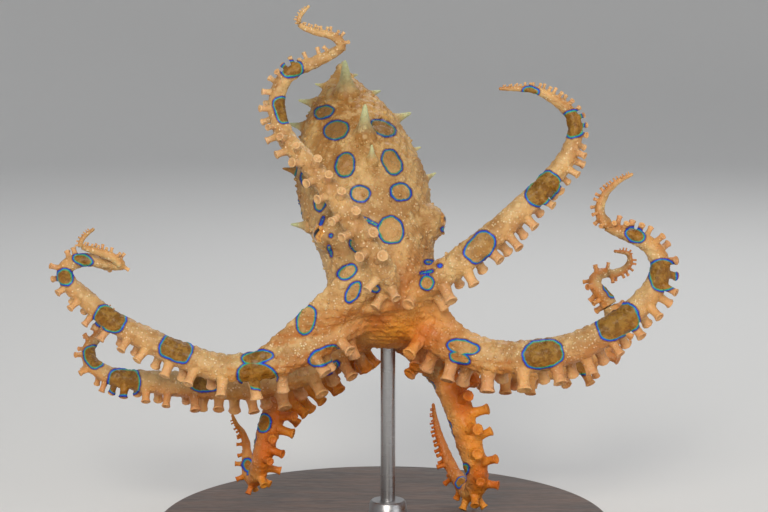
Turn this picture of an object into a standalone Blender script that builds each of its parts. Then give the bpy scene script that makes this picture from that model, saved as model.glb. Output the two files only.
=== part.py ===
"""Blue-ringed octopus, life size, hovering with its arms spread, on a display stand.

Sizes below are in millimetres and are turned into metres when a mesh is made.
X runs to the animal's left arms, -Y to the viewer, +Z up; the stand's underside is at Z = 0.
"""

import math
import random

import bmesh
import bpy
import numpy as np
from mathutils import Vector

MM = 0.001
GAP = 0.3
SHARP_ANGLE = math.radians(50)

# Stand
BASE_RADIUS = 46.0
BASE_THICK = 4.0
BASE_EDGE = 0.8
BASE_SIDES = 48
ROD_RADIUS = 1.5
ROD_AT = (0.8, 2.6)
ROD_TOP = 42.6
ROD_SIDES = 16
SOCKET_SIDES = 12
SOCKET_DEPTH = 12.0
COLLAR_RADIUS = 4.0
COLLAR_HIGH = 3.0
COLLAR_TAPER = 0.5

# Smooth curves: points worked out in each span between two rows, and the steps of the tables read from them
SPAN_POINTS = 24
ARM_TABLE_STEP = 0.2
BODY_TABLE_STEP = 0.25

# Arms: rings along an arm stand ARM_STEP radii apart, or SHORT_STEP where that is more
ARM_SIDES = 8
TIP_SIDES = 6
ARM_STEP = 1.0
SHORT_STEP = 1.3
TIP_RADIUS = 0.3
TAPER = 1.8

# Each arm's thickest radius and the length of its root next to the crown
ARM_SIZES = {
    "r1": (2.5, 21.0),
    "r2": (3.1, 33.0),
    "r3": (3.5, 25.0),
    "r4": (3.3, 21.0),
    "l1": (2.9, 20.0),
    "l2": (3.6, 26.0),
    "l3": (3.4, 22.0),
    "l4": (3.2, 18.0),
}

# The free lengths of an arm, and where they are parted as shares of the whole length
LENGTH_NAMES = ("lower", "upper", "tip")
LENGTH_ENDS = (0.52, 0.77)

# Suckers, each size a share of the arm's radius where it grows; thin stretches carry every third one
SUCKER_PITCH = 0.92
SUCKER_STEP = 0.15
SUCKER_LEAN = math.radians(30)
SUCKER_LENGTH = 1.22
SUCKER_STALK = 0.36
SUCKER_CUP = 0.46
SUCKER_ROOT = 0.52
SUCKER_DISH = 0.14
SUCKER_SIDES = 4
SUCKER_WAIST = 0.45
SUCKER_SUNK = 0.5
LAST_SUCKER = 0.8
SMALL_SUCKER = 1.5
THIN_ARM = 1.95
THIN_EVERY = 3
FIRST_SUCKER = 7.0

# Each arm's centre line: x, y, z and the way its suckers look
# (Left, Right, Up, Down, Front, Back as the viewer sees them)
ROUTES = {
    "r1": (
        (0.8, -7.1, 50.2, "F"),
        (0.4, -15.4, 56.1, "FD"),
        (-2.3, -16.2, 61.2, "F"),
        (-6.4, -13.9, 67.2, "F"),
        (-10.7, -11.1, 72.7, "F"),
        (-15.2, -8.8, 77.9, "F"),
        (-18.9, -6.7, 82.0, "FL"),
        (-20.8, -5.1, 86.6, "L"),
        (-20.6, -3.9, 91.2, "L"),
        (-18.4, -3.5, 94.5, "LU"),
        (-14.3, -3.2, 96.5, "UB"),
        (-10.6, -2.9, 98.2, "UB"),
        (-8.4, -3.2, 100.0, "R"),
        (-9.8, -3.9, 101.8, "RU"),
        (-13.1, -4.3, 102.7, "U"),
        (-16.2, -4.7, 103.9, "U"),
        (-16.4, -4.4, 105.7, "L"),
        (-14.6, -4.1, 107.8, "L"),
    ),
    "r2": (
        (-2.4, -4.5, 47.4, "DF"),
        (-8.7, -8.9, 44.9, "DDF"),
        (-15.7, -11.5, 41.0, "D"),
        (-23.4, -12.8, 38.5, "DDB"),
        (-31.6, -13.4, 38.0, "D"),
        (-39.2, -13.1, 40.3, "DDL"),
        (-46.7, -12.1, 43.5, "DDL"),
        (-53.5, -11.6, 47.2, "DDL"),
        (-58.6, -11.0, 51.5, "DL"),
        (-61.9, -10.6, 54.7, "L"),
        (-61.7, -10.7, 57.5, "LU"),
        (-58.1, -11.0, 58.8, "UB"),
        (-54.2, -11.1, 58.0, "B"),
        (-51.4, -11.6, 57.9, "R"),
        (-52.8, -12.9, 59.6, "U"),
        (-56.1, -12.7, 60.8, "U"),
        (-58.7, -13.1, 61.8, "LU"),
        (-58.1, -12.9, 63.5, "L"),
        (-56.2, -12.6, 65.1, "L"),
    ),
    "r3": (
        (-2.4, 1.1, 44.4, "D"),
        (-7.9, 3.5, 39.9, "D"),
        (-15.4, 2.8, 35.1, "D"),
        (-23.5, 1.4, 32.3, "D"),
        (-32.1, 0.3, 31.7, "D"),
        (-40.8, 0.4, 31.9, "D"),
        (-48.2, 0.4, 32.5, "D"),
        (-54.7, 0.6, 33.5, "D"),
        (-58.9, 1.9, 35.5, "DL"),
        (-60.0, 4.3, 38.3, "L"),
        (-58.5, 7.6, 40.4, "LU"),
        (-56.7, 10.9, 42.1, "LU"),
        (-56.4, 13.7, 43.9, "U"),
        (-58.1, 15.9, 45.5, "U"),
    ),
    "r4": (
        (-2.0, 5.0, 42.9, "D"),
        (-7.4, 10.3, 37.8, "D"),
        (-14.1, 13.5, 31.8, "DR"),
        (-19.1, 12.9, 27.8, "RD"),
        (-22.1, 9.5, 25.0, "R"),
        (-23.8, 6.4, 21.0, "RF"),
        (-24.8, 4.8, 16.8, "RF"),
        (-25.7, 5.8, 12.8, "RD"),
        (-26.9, 8.9, 10.1, "D"),
        (-28.4, 12.6, 11.1, "LB"),
        (-28.7, 15.1, 14.4, "LB"),
        (-29.4, 16.5, 17.5, "L"),
        (-31.1, 17.4, 19.9, "LU"),
        (-32.0, 17.7, 21.9, "L"),
    ),
    "l1": (
        (2.0, -5.2, 49.9, "F"),
        (6.7, -9.8, 52.9, "DF"),
        (11.1, -11.9, 56.1, "RD"),
        (15.9, -12.4, 59.7, "RD"),
        (21.4, -11.8, 64.0, "RD"),
        (26.8, -11.1, 69.0, "RD"),
        (31.8, -10.4, 74.0, "RRD"),
        (35.5, -9.7, 78.8, "R"),
        (37.1, -9.0, 83.8, "R"),
        (35.9, -8.5, 87.4, "RU"),
        (32.6, -8.1, 90.1, "U"),
        (29.1, -7.9, 91.7, "U"),
        (25.6, -7.9, 91.9, "U"),
        (22.3, -7.9, 91.9, "U"),
    ),
    "l2": (
        (2.8, -1.7, 46.1, "D"),
        (9.1, -5.0, 43.9, "DDF"),
        (14.6, -7.4, 41.1, "D"),
        (20.9, -8.7, 39.3, "D"),
        (28.8, -9.2, 39.4, "D"),
        (36.2, -9.0, 40.8, "D"),
        (42.5, -8.6, 43.5, "DDR"),
        (48.4, -8.5, 47.7, "DR"),
        (52.7, -7.9, 52.4, "RRD"),
        (54.3, -7.2, 57.0, "R"),
        (52.3, -6.7, 60.9, "RU"),
        (48.2, -6.4, 63.1, "U"),
        (44.3, -6.1, 64.8, "UL"),
        (42.5, -5.7, 67.7, "L"),
        (43.5, -5.3, 70.9, "L"),
        (46.0, -4.9, 73.4, "LU"),
        (49.0, -4.7, 75.0, "U"),
    ),
    "l3": (
        (3.2, 3.0, 43.7, "D"),
        (9.8, 6.5, 39.4, "D"),
        (17.7, 10.0, 36.0, "D"),
        (27.1, 12.2, 33.7, "D"),
        (36.2, 13.7, 33.0, "D"),
        (43.3, 14.9, 34.9, "DR"),
        (47.6, 16.5, 38.8, "R"),
        (48.1, 18.1, 42.8, "R"),
        (46.3, 19.1, 46.6, "L"),
        (44.3, 20.5, 49.2, "L"),
        (45.8, 22.7, 51.0, "LU"),
        (49.0, 23.3, 51.1, "D"),
        (51.7, 23.5, 52.8, "R"),
        (51.5, 23.8, 55.1, "R"),
        (48.6, 23.9, 55.7, "U"),
    ),
    "l4": (
        (1.6, 3.9, 42.3, "DF"),
        (7.4, 7.2, 37.6, "DF"),
        (11.4, 5.6, 33.5, "FR"),
        (14.0, 3.5, 29.1, "FR"),
        (15.6, 1.9, 24.7, "FR"),
        (17.0, 0.7, 20.2, "FR"),
        (18.3, 0.2, 16.0, "FR"),
        (18.9, 1.1, 11.8, "RDF"),
        (18.1, 4.6, 8.4, "D"),
        (16.4, 9.2, 8.5, "BD"),
        (14.4, 12.6, 11.1, "LB"),
        (12.8, 14.6, 14.5, "L"),
        (11.5, 15.6, 18.1, "L"),
        (10.7, 16.1, 21.6, "L"),
        (10.3, 16.0, 24.6, "L"),
    ),
}
LOOKS = {
    "L": (-1, 0, 0),
    "R": (1, 0, 0),
    "F": (0, -1, 0),
    "B": (0, 1, 0),
    "D": (0, 0, -1),
    "U": (0, 0, 1),
}

# Webs between neighbouring arms: how far along each arm they reach, and how far the edge is drawn in
WEBS = (
    ("r1", "r2", 18.0, 30.0, 0.04),
    ("r2", "r3", 20.0, 21.0, 0.30),
    ("r3", "r4", 16.0, 17.0, 0.30),
    ("r4", "l4", 11.0, 11.0, 0.22),
    ("l4", "l3", 13.0, 14.0, 0.30),
    ("l3", "l2", 18.0, 18.0, 0.30),
    ("l2", "l1", 23.0, 14.0, 0.25),
    ("l1", "r1", 9.0, 9.0, 0.35),
)
WEB_THICK = 1.1
WEB_START = 0.12
WEB_ROWS = 4
WEB_COLUMNS = 5

# Body from the mantle's tip down to the crown: x, y, z, half width, half depth
BODY = (
    (-9.1, 21.3, 94.8, 0.6, 0.5),
    (-8.9, 20.2, 92.4, 2.4, 2.2),
    (-8.5, 18.6, 89.6, 4.8, 4.3),
    (-7.8, 16.6, 86.0, 7.8, 6.8),
    (-7.0, 14.3, 82.1, 10.2, 8.8),
    (-6.1, 11.7, 77.8, 11.9, 10.2),
    (-5.1, 8.6, 73.4, 13.0, 11.0),
    (-4.0, 5.9, 69.6, 13.3, 11.0),
    (-3.4, 4.3, 67.2, 13.2, 10.8),
    (-2.2, 1.9, 63.2, 12.0, 9.8),
    (-1.4, 0.2, 59.6, 11.6, 9.6),
    (-0.8, -1.3, 56.2, 11.0, 9.4),
    (-0.2, -2.8, 52.6, 11.0, 9.4),
    (0.4, -4.3, 49.2, 11.0, 9.0),
    (0.8, -5.7, 46.0, 9.0, 8.0),
)
BODY_SIDES = 18
BODY_STEP = 2.6
BODY_YAW = math.radians(18)
MANTLE_END = 30.2
HEAD_END = 43.6
HEAD_INSET = 0.4

# Crown: an egg in the middle, the sphere about it at which the arm roots are parted, and the slabs
# that part the webs
HUB_AT = (0.8, -0.9, 47.4)
HUB_SIZE = (12.0, 12.0, 7.0)
HUB_TILT = math.radians(-33)
CORE_RADIUS = 16.0
CORE_SEGMENTS = (16, 9)
SLAB_START = 0.7
SLAB_PAST = 6.0
SLAB_HIGH = 9.0
SHORT_WEB = 9.5

# Eyes, each in a mound, looking sideways and a little to the front
EYE_SIDE = 10.4
EYE_TURN = 0.45
EYE_FRONT = 4.2
EYE_HEIGHT = 62.0
EYE_RADIUS = 2.5
EYE_OUT = 1.0
LID_RADIUS = 3.9
LID_IN = 0.6

# Siphon, on the hidden side below the mantle's edge
SIPHON_HEIGHT = 62.0
SIPHON_LENGTH = 7.0
SIPHON_RADIUS = 2.3
SIPHON_MIDDLE = 1.9
SIPHON_MOUTH = 1.5
SIPHON_BORE = 0.9
SIPHON_BORE_DEPTH = 3.0
SIPHON_SUNK = 3.0
SIPHON_COLLAR = 2.0
SIPHON_LEAN = 1.1
SIPHON_SIDES = 10

# Skin spikes: distance from the mantle's tip, degrees round it from the middle of the back towards
# the left arms, length, and how far each leans towards the tip; those past the mantle's end are on the head
SPIKES = (
    (0.3, 0, 1.6, 0.35),
    (2.1, 100, 2.2, 0.35),
    (6.6, 95, 3.4, 0.35),
    (13.0, 88, 4.6, 0.35),
    (20.5, 84, 2.2, 0.35),
    (28.6, 82, 2.6, 0.35),
    (4.5, -96, 2.0, 0.35),
    (8.0, -96, 3.4, 0.35),
    (13.2, -95, 3.2, 0.35),
    (23.0, -98, 2.8, 0.35),
    (34.2, -99, 3.2, 0.35),
    (8.5, -10, 6.6, 0.9),
    (21.6, -4, 5.8, 0.9),
    (28.2, -1, 2.8, 0.9),
)
BACK_SPIKE_ROWS = (7.6, 16.6, 25.7)
BACK_SPIKE_ANGLES = (130, 180, 230)
BACK_SPIKE_LENGTH = 1.7
BACK_SPIKE_LEAN = 0.35
ROW_STRAY = 1.5
ANGLE_STRAY = 9
SPIKE_ROOT = 0.26
SPIKE_LEAST = 0.1
SPIKE_POINT = 0.12
SPIKE_SUNK = 0.8
SPIKE_SIDES = 5

SKIN = (0.62, 0.44, 0.27)
EYE_GOLD = (0.55, 0.30, 0.06)
WOOD = (0.10, 0.05, 0.03)
STEEL = (0.62, 0.62, 0.63)


def clear_scene():
    for item in list(bpy.data.objects):
        bpy.data.objects.remove(item, do_unlink=True)


def material(name, colour, rough, metallic=0.0):
    made = bpy.data.materials.new(name)
    made.use_nodes = True
    shader = made.node_tree.nodes["Principled BSDF"]
    shader.inputs["Base Color"].default_value = (*colour, 1.0)
    shader.inputs["Roughness"].default_value = rough
    shader.inputs["Metallic"].default_value = metallic
    return made


def add_object(name, points, faces, look):
    """A mesh object from points in millimetres, its origin at the middle of its points."""
    points = np.asarray(points, float)
    middle = points.mean(axis=0)
    mesh = bpy.data.meshes.new(name)
    mesh.from_pydata(((points - middle) * MM).tolist(), [], [tuple(map(int, f)) for f in faces])
    mesh.update()
    made = bpy.data.objects.new(name, mesh)
    made.location = middle * MM
    made.data.materials.append(look)
    bpy.context.scene.collection.objects.link(made)
    return made


def unit(v):
    v = np.asarray(v, float)
    return v / np.maximum(np.linalg.norm(v, axis=-1, keepdims=True), 1e-12)


def spline(rows, step):
    """A smooth curve through the rows, whose first three columns are a place: one row for each step."""
    rows = np.asarray(rows, float)
    ends = np.vstack([2 * rows[0] - rows[1], rows, 2 * rows[-1] - rows[-2]])
    t = np.linspace(0, 1, SPAN_POINTS, endpoint=False)[:, None]
    pieces = []
    for a, b, c, d in zip(ends, ends[1:], ends[2:], ends[3:]):
        square = (2 * a - 5 * b + 4 * c - d) * t**2
        cube = (3 * b - a - 3 * c + d) * t**3
        pieces.append(0.5 * (2 * b + (c - a) * t + square + cube))
    fine = np.vstack(pieces + [rows[-1:]])
    along = np.concatenate([[0], np.cumsum(np.linalg.norm(np.diff(fine[:, :3], axis=0), axis=1))])
    at = np.linspace(0, along[-1], int(round(along[-1] / step)) + 1)
    return at, np.stack([np.interp(at, along, column) for column in fine.T], axis=1)


class Arm:
    """An arm's centre line, its radius and the way its suckers look, at any distance from its start."""

    def __init__(self, name):
        rows = [(x, y, z, *np.sum([LOOKS[c] for c in way], axis=0)) for x, y, z, way in ROUTES[name]]
        self.thickest, self.root_length = ARM_SIZES[name]
        self.at, fine = spline(rows, ARM_TABLE_STEP)
        self.length = self.at[-1]
        self.line = fine[:, :3]
        self.run = unit(np.gradient(self.line, axis=0))
        down = fine[:, 3:] - (fine[:, 3:] * self.run).sum(axis=1, keepdims=True) * self.run
        self.down = unit(down)

    def read(self, at):
        """Centre, direction, sucker side and flank at each distance."""
        centre, run, down = (
            np.stack([np.interp(at, self.at, column) for column in table.T], axis=-1)
            for table in (self.line, self.run, self.down)
        )
        run = unit(run)
        down = unit(down - (down * run).sum(axis=-1, keepdims=True) * run)
        return centre, run, down, np.cross(run, down)

    def radius(self, at):
        share = np.clip(np.asarray(at) / self.length, 0, 1)
        return TIP_RADIUS + (self.thickest - TIP_RADIUS) * (1 - share**TAPER)

    def sucker_places(self):
        """Distances of all the suckers, which stand in two rows, turn about."""
        places = [FIRST_SUCKER]
        while places[-1] < self.length - LAST_SUCKER:
            places.append(places[-1] + SUCKER_PITCH * float(self.radius(places[-1])) + SUCKER_STEP)
        return places[:-1]

    def cuts(self):
        """Distances where the arm is parted, each midway between two suckers."""
        places = self.sucker_places()
        middles = [(a + b) / 2 for a, b in zip(places, places[1:])]
        wanted = [self.root_length] + [self.length * share for share in LENGTH_ENDS]
        return [min(middles, key=lambda m: abs(m - w)) for w in wanted]


def tube(arm, start, end, closed_tip):
    """Points and faces of the arm between two distances, its ends closed by a point in the middle."""
    sides = TIP_SIDES if closed_tip else ARM_SIDES
    stations = [start]
    while stations[-1] < end:
        stations.append(stations[-1] + max(SHORT_STEP, ARM_STEP * float(arm.radius(stations[-1]))))
    stations = np.asarray(stations)
    stations = start + (stations - start) * (end - start) / (stations[-1] - start)
    centre, run, down, flank = arm.read(stations)
    radius = arm.radius(stations)
    if closed_tip:
        radius[-1] = TIP_RADIUS
    angle = np.arange(sides) * 2 * math.pi / sides
    ring = np.cos(angle)[None, :, None] * down[:, None] + np.sin(angle)[None, :, None] * flank[:, None]
    points = centre[:, None] + radius[:, None, None] * ring
    rounding = run[-1] * TIP_RADIUS if closed_tip else 0
    points = np.vstack([points.reshape(-1, 3), centre[0], centre[-1] + rounding])
    return points, ring_faces(len(stations), sides)


def ring_faces(rings, sides):
    """Faces of a tube of rings whose two closing points come last."""
    faces = []
    for i in range(rings - 1):
        for j in range(sides):
            k = (j + 1) % sides
            faces.append((i * sides + j, i * sides + k, (i + 1) * sides + k, (i + 1) * sides + j))
    first, last = rings * sides, rings * sides + 1
    for j in range(sides):
        k = (j + 1) % sides
        faces.append((first, k, j))
        faces.append((last, (rings - 1) * sides + j, (rings - 1) * sides + k))
    return faces


def turned(centres, radii, axis, across, sides, dish=0.0):
    """Points and faces of a round peg through the centres, one radius for each, its end dished in."""
    across = unit(across - np.dot(across, axis) * axis)
    other = np.cross(axis, across)
    angle = np.arange(sides) * 2 * math.pi / sides
    ring = np.cos(angle)[:, None] * across + np.sin(angle)[:, None] * other
    points = [c + r * ring for c, r in zip(centres, radii)]
    points = np.vstack(points + [centres[0], centres[-1] - np.asarray(axis) * dish])
    return points, ring_faces(len(radii), sides)


def sucker(arm, at, row):
    """A sucker of one of the two rows: a stalk that widens to a dished cup, or a plain peg if small."""
    centre, run, down, flank = arm.read(at)
    radius = float(arm.radius(at))
    lean = SUCKER_LEAN if row else -SUCKER_LEAN
    way = math.cos(lean) * down + math.sin(lean) * flank
    length = SUCKER_LENGTH * radius
    small = radius < SMALL_SUCKER
    heights = [SUCKER_SUNK * radius, radius + SUCKER_WAIST * length, radius + length]
    radii = [SUCKER_ROOT * radius, SUCKER_STALK * radius, SUCKER_CUP * radius]
    if small:
        heights, radii = heights[::2], radii[::2]
    centres = [centre + way * h for h in heights]
    return turned(centres, radii, way, run, SUCKER_SIDES, SUCKER_DISH * radius)


def suckers(arm, start, end):
    """The suckers between two distances along the arm: every one, but fewer where the arm is thin."""
    made = []
    for i, at in enumerate(arm.sucker_places()):
        modelled = arm.radius(at) > THIN_ARM or i % THIN_EVERY == 0
        if modelled and start < at < end:
            made.append(sucker(arm, at, i % 2))
    return made


def web_sheet(first, second, reach_one, reach_two, drawn_in):
    """The web between two arms: a bowed sheet whose free edge is drawn in towards the crown."""
    hub = np.asarray(HUB_AT)
    grid = np.zeros((WEB_ROWS, WEB_COLUMNS, 3))
    for i, share in enumerate(np.linspace(WEB_START, 1, WEB_ROWS)):
        a = first.read(share * reach_one)[0]
        b = second.read(share * reach_two)[0]
        for j, w in enumerate(np.linspace(0, 1, WEB_COLUMNS)):
            flat = a + (b - a) * w
            grid[i, j] = flat + (hub - flat) * drawn_in * share * math.sin(math.pi * w)
    return thick_sheet(grid, WEB_THICK)


def thick_sheet(grid, thick):
    """A closed sheet of one thickness over a grid of points, split into triangles alike on both faces."""
    rows, columns = grid.shape[:2]
    du = np.gradient(grid, axis=0)
    dv = np.gradient(grid, axis=1)
    half = unit(np.cross(du, dv)) * thick / 2
    points = np.vstack([(grid + half).reshape(-1, 3), (grid - half).reshape(-1, 3)])
    under = rows * columns
    faces = []
    for i in range(rows - 1):
        for j in range(columns - 1):
            a, b = i * columns + j, (i + 1) * columns + j
            for tri in ((a, b, b + 1), (a, b + 1, a + 1)):
                faces.append(tri)
                faces.append(tuple(v + under for v in reversed(tri)))
    rim = list(range(columns))
    rim += [i * columns + columns - 1 for i in range(1, rows)]
    rim += [(rows - 1) * columns + j for j in range(columns - 2, -1, -1)]
    rim += [i * columns for i in range(rows - 2, 0, -1)]
    for a, b in zip(rim, rim[1:] + rim[:1]):
        faces.append((a, b, b + under))
        faces.append((a, b + under, a + under))
    return points, faces


class Body:
    """The round body of mantle, head and crown, read at any distance from the mantle's tip."""

    def __init__(self):
        self.at, fine = spline(BODY, BODY_TABLE_STEP)
        self.line = fine[:, :3]
        self.half = fine[:, 3:]
        self.run = unit(np.gradient(self.line, axis=0))
        self.length = self.at[-1]

    def read(self, at):
        """Centre, direction downwards, way to the left arms, way out of the back, and both half sizes."""
        centre, run, half = (
            np.stack([np.interp(at, self.at, column) for column in table.T], axis=-1)
            for table in (self.line, self.run, self.half)
        )
        run = unit(run)
        back = np.array([math.sin(BODY_YAW), -math.cos(BODY_YAW), 0.0])
        back = unit(back - (back * run).sum(axis=-1, keepdims=True) * run)
        return centre, run, np.cross(back, run), back, half

    def surface(self, at, angle):
        """The place on the skin at a distance and an angle from the middle of the back, and the way out."""
        centre, run, side, back, half = self.read(at)
        spot = centre + half[0] * math.sin(angle) * side + half[1] * math.cos(angle) * back
        out = unit(math.sin(angle) / half[0] * side + math.cos(angle) / half[1] * back)
        return spot, out, run

    def at_height(self, height):
        return float(np.interp(-height, -self.line[:, 2], self.at))


def loft(body, start, end, inset=0.0):
    """Points and faces of the body between two distances from the mantle's tip."""
    stations = np.linspace(start, end, int(round((end - start) / BODY_STEP)) + 1)
    centre, run, side, back, half = body.read(stations)
    half = half - inset
    angle = np.arange(BODY_SIDES) * 2 * math.pi / BODY_SIDES
    ring = (
        half[:, :1, None] * np.sin(angle)[None, :, None] * side[:, None]
        + half[:, 1:, None] * np.cos(angle)[None, :, None] * back[:, None]
    )
    points = centre[:, None] + ring
    points = np.vstack([points.reshape(-1, 3), centre[0], centre[-1]])
    return points, ring_faces(len(stations), BODY_SIDES)


def ball(middle, radii, tilt=0.0, segments=12, rings=8):
    """Points and faces of an egg shape, tilted about the X axis."""
    mesh = bmesh.new()
    bmesh.ops.create_uvsphere(mesh, u_segments=segments, v_segments=rings, radius=1.0)
    points = np.array([v.co for v in mesh.verts]) * np.asarray(radii, float)
    faces = [tuple(v.index for v in f.verts) for f in mesh.faces]
    mesh.free()
    c, s = math.cos(tilt), math.sin(tilt)
    turn = np.array([[1, 0, 0], [0, c, -s], [0, s, c]])
    return points @ turn.T + np.asarray(middle), faces


def ball_shell(middle, radius, thick):
    """A hollow ball of one thickness."""
    outer, faces = ball(middle, [radius + thick] * 3, 0.0, *CORE_SEGMENTS)
    inner, _ = ball(middle, [radius] * 3, 0.0, *CORE_SEGMENTS)
    lining = [tuple(v + len(outer) for v in reversed(face)) for face in faces]
    return np.vstack([outer, inner]), faces + lining


def outward(made):
    """Makes every face of a closed mesh look out."""
    mesh = bmesh.new()
    mesh.from_mesh(made.data)
    bmesh.ops.triangulate(mesh, faces=mesh.faces)
    if mesh.calc_volume(signed=True) < 0:
        bmesh.ops.reverse_faces(mesh, faces=mesh.faces)
    mesh.to_mesh(made.data)
    mesh.free()


def apply_modifiers(made):
    graph = bpy.context.evaluated_depsgraph_get()
    mesh = bpy.data.meshes.new_from_object(made.evaluated_get(graph))
    made.modifiers.clear()
    made.data = mesh


def closed_surfaces(mesh):
    """The vertices of each closed surface of a bmesh, the surface with the fewest first."""
    groups, seen = [], set()
    for vert in mesh.verts:
        if vert in seen:
            continue
        group, open_ones = [], [vert]
        seen.add(vert)
        while open_ones:
            one = open_ones.pop()
            group.append(one)
            for edge in one.link_edges:
                other = edge.other_vert(one)
                if other not in seen:
                    seen.add(other)
                    open_ones.append(other)
        groups.append(group)
    return sorted(groups, key=len)


def keep_largest(made):
    """Leaves only the largest closed surface of the mesh."""
    mesh = bmesh.new()
    mesh.from_mesh(made.data)
    rest = [vert for group in closed_surfaces(mesh)[:-1] for vert in group]
    bmesh.ops.delete(mesh, geom=rest, context="VERTS")
    mesh.to_mesh(made.data)
    mesh.free()


def keep_nearest(made, spot):
    """Leaves only the closed surface that comes nearest to a place in millimetres."""
    target = Vector(np.asarray(spot) * MM) - made.location
    mesh = bmesh.new()
    mesh.from_mesh(made.data)
    groups = closed_surfaces(mesh)
    wanted = min(groups, key=lambda group: min((vert.co - target).length for vert in group))
    rest = [vert for group in groups if group is not wanted for vert in group]
    bmesh.ops.delete(mesh, geom=rest, context="VERTS")
    mesh.to_mesh(made.data)
    mesh.free()


def fused(name, pieces, look, cutters=(), spot=None):
    """One closed object from overlapping closed pieces less the cutters: the largest, or that at a spot."""
    made = add_object(name, *pieces[0], look)
    outward(made)
    for operation, group in (("UNION", pieces[1:]), ("DIFFERENCE", cutters)):
        if not group:
            continue
        others = bpy.data.collections.new(name + "_" + operation.lower())
        bpy.context.scene.collection.children.link(others)
        for number, (points, faces) in enumerate(group):
            other = add_object(f"{name}_piece_{number}", points, faces, look)
            outward(other)
            bpy.context.scene.collection.objects.unlink(other)
            others.objects.link(other)
        join = made.modifiers.new(operation, "BOOLEAN")
        join.operation = operation
        join.solver = "MANIFOLD"
        join.operand_type = "COLLECTION"
        join.collection = others
        apply_modifiers(made)
        for other in list(others.objects):
            bpy.data.objects.remove(other, do_unlink=True)
        bpy.data.collections.remove(others)
    if spot is None:
        keep_largest(made)
    else:
        keep_nearest(made, spot)
    made.data.shade_smooth()
    made.data.set_sharp_from_angle(angle=SHARP_ANGLE)
    return made


def spike(body, at, degrees, length, lean):
    """A tapering skin spike that leans towards the mantle's tip."""
    spot, out, run = body.surface(at, math.radians(degrees))
    way = unit(out - lean * run)
    centres = [spot - way * SPIKE_SUNK, spot + way * length]
    return turned(centres, [SPIKE_ROOT * length + SPIKE_LEAST, SPIKE_POINT], way, run, SPIKE_SIDES)


def build_mantle(body, skin):
    """The mantle with its long spikes and the short ones drawn by lot on its hidden side."""
    pieces = [loft(body, 0.0, MANTLE_END)]
    pieces.extend(spike(body, *row) for row in SPIKES if row[0] < MANTLE_END)
    for row in BACK_SPIKE_ROWS:
        for degrees in BACK_SPIKE_ANGLES:
            at = row + random.uniform(-ROW_STRAY, ROW_STRAY)
            turn = degrees + random.uniform(-ANGLE_STRAY, ANGLE_STRAY)
            pieces.append(spike(body, at, turn, BACK_SPIKE_LENGTH, BACK_SPIKE_LEAN))
    fused("mantle", pieces, skin)


def eye_places(body):
    """Middle of each eye and the way it looks."""
    centre, run, side, back, half = body.read(body.at_height(EYE_HEIGHT))
    places = {}
    for name, sign in (("right", -1), ("left", 1)):
        out = unit(sign * side + EYE_TURN * back)
        places[name] = (centre + sign * EYE_SIDE * side + EYE_FRONT * back, out)
    return places


def build_head(body, skin, gold):
    """The head with its spikes, eye mounds and the siphon's collar, then the eyes and the siphon."""
    pieces = [loft(body, MANTLE_END + GAP, HEAD_END, HEAD_INSET)]
    pieces.extend(spike(body, *row) for row in SPIKES if row[0] > MANTLE_END)
    cutters = []
    for name, (middle, out) in eye_places(body).items():
        pieces.append(ball(middle - out * LID_IN, [LID_RADIUS] * 3))
        eye = middle + out * EYE_OUT
        cutters.append(ball(eye, [EYE_RADIUS + GAP] * 3))
        points, faces = ball(eye, [EYE_RADIUS] * 3)
        fused("eye_" + name, [(points, faces)], gold)
    spot, out, run = body.surface(body.at_height(SIPHON_HEIGHT), math.pi)
    way = unit(out + SIPHON_LEAN * run)
    ends = [spot - out * SIPHON_SUNK, spot + way * SIPHON_COLLAR]
    pieces.append(turned(ends, [SIPHON_RADIUS] * 2, way, run, SIPHON_SIDES))
    fused("head", pieces, skin, cutters)
    start = spot + way * (SIPHON_COLLAR + GAP)
    end = start + way * SIPHON_LENGTH
    radii = [SIPHON_RADIUS, SIPHON_MIDDLE, SIPHON_MOUTH]
    funnel = turned([start, (start + end) / 2, end], radii, way, run, SIPHON_SIDES)
    bore = turned([end - way * SIPHON_BORE_DEPTH, end + way], [SIPHON_BORE] * 2, way, run, SIPHON_SIDES)
    fused("siphon", [funnel], skin, [bore])


def slab(arms, web):
    """A thin slab that parts a web midway between its two arms, outside the crown's core."""
    one, two, reach_one, reach_two, _ = web
    hub = np.asarray(HUB_AT)
    a = arms[one].read(reach_one)[0]
    b = arms[two].read(reach_two)[0]
    middle = (a + b) / 2
    out = unit(middle - hub)
    across = unit((b - a) - np.dot(b - a, out) * out)
    up = np.cross(out, across)
    near, far = hub + out * CORE_RADIUS * SLAB_START, middle + out * SLAB_PAST
    corners = [
        end + across * GAP / 2 * u + up * SLAB_HIGH * v
        for end in (near, far)
        for u, v in ((-1, -1), (1, -1), (1, 1), (-1, 1))
    ]
    faces = [(0, 1, 2, 3), (7, 6, 5, 4), (0, 4, 5, 1), (1, 5, 6, 2), (2, 6, 7, 3), (3, 7, 4, 0)]
    return corners, faces


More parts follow.
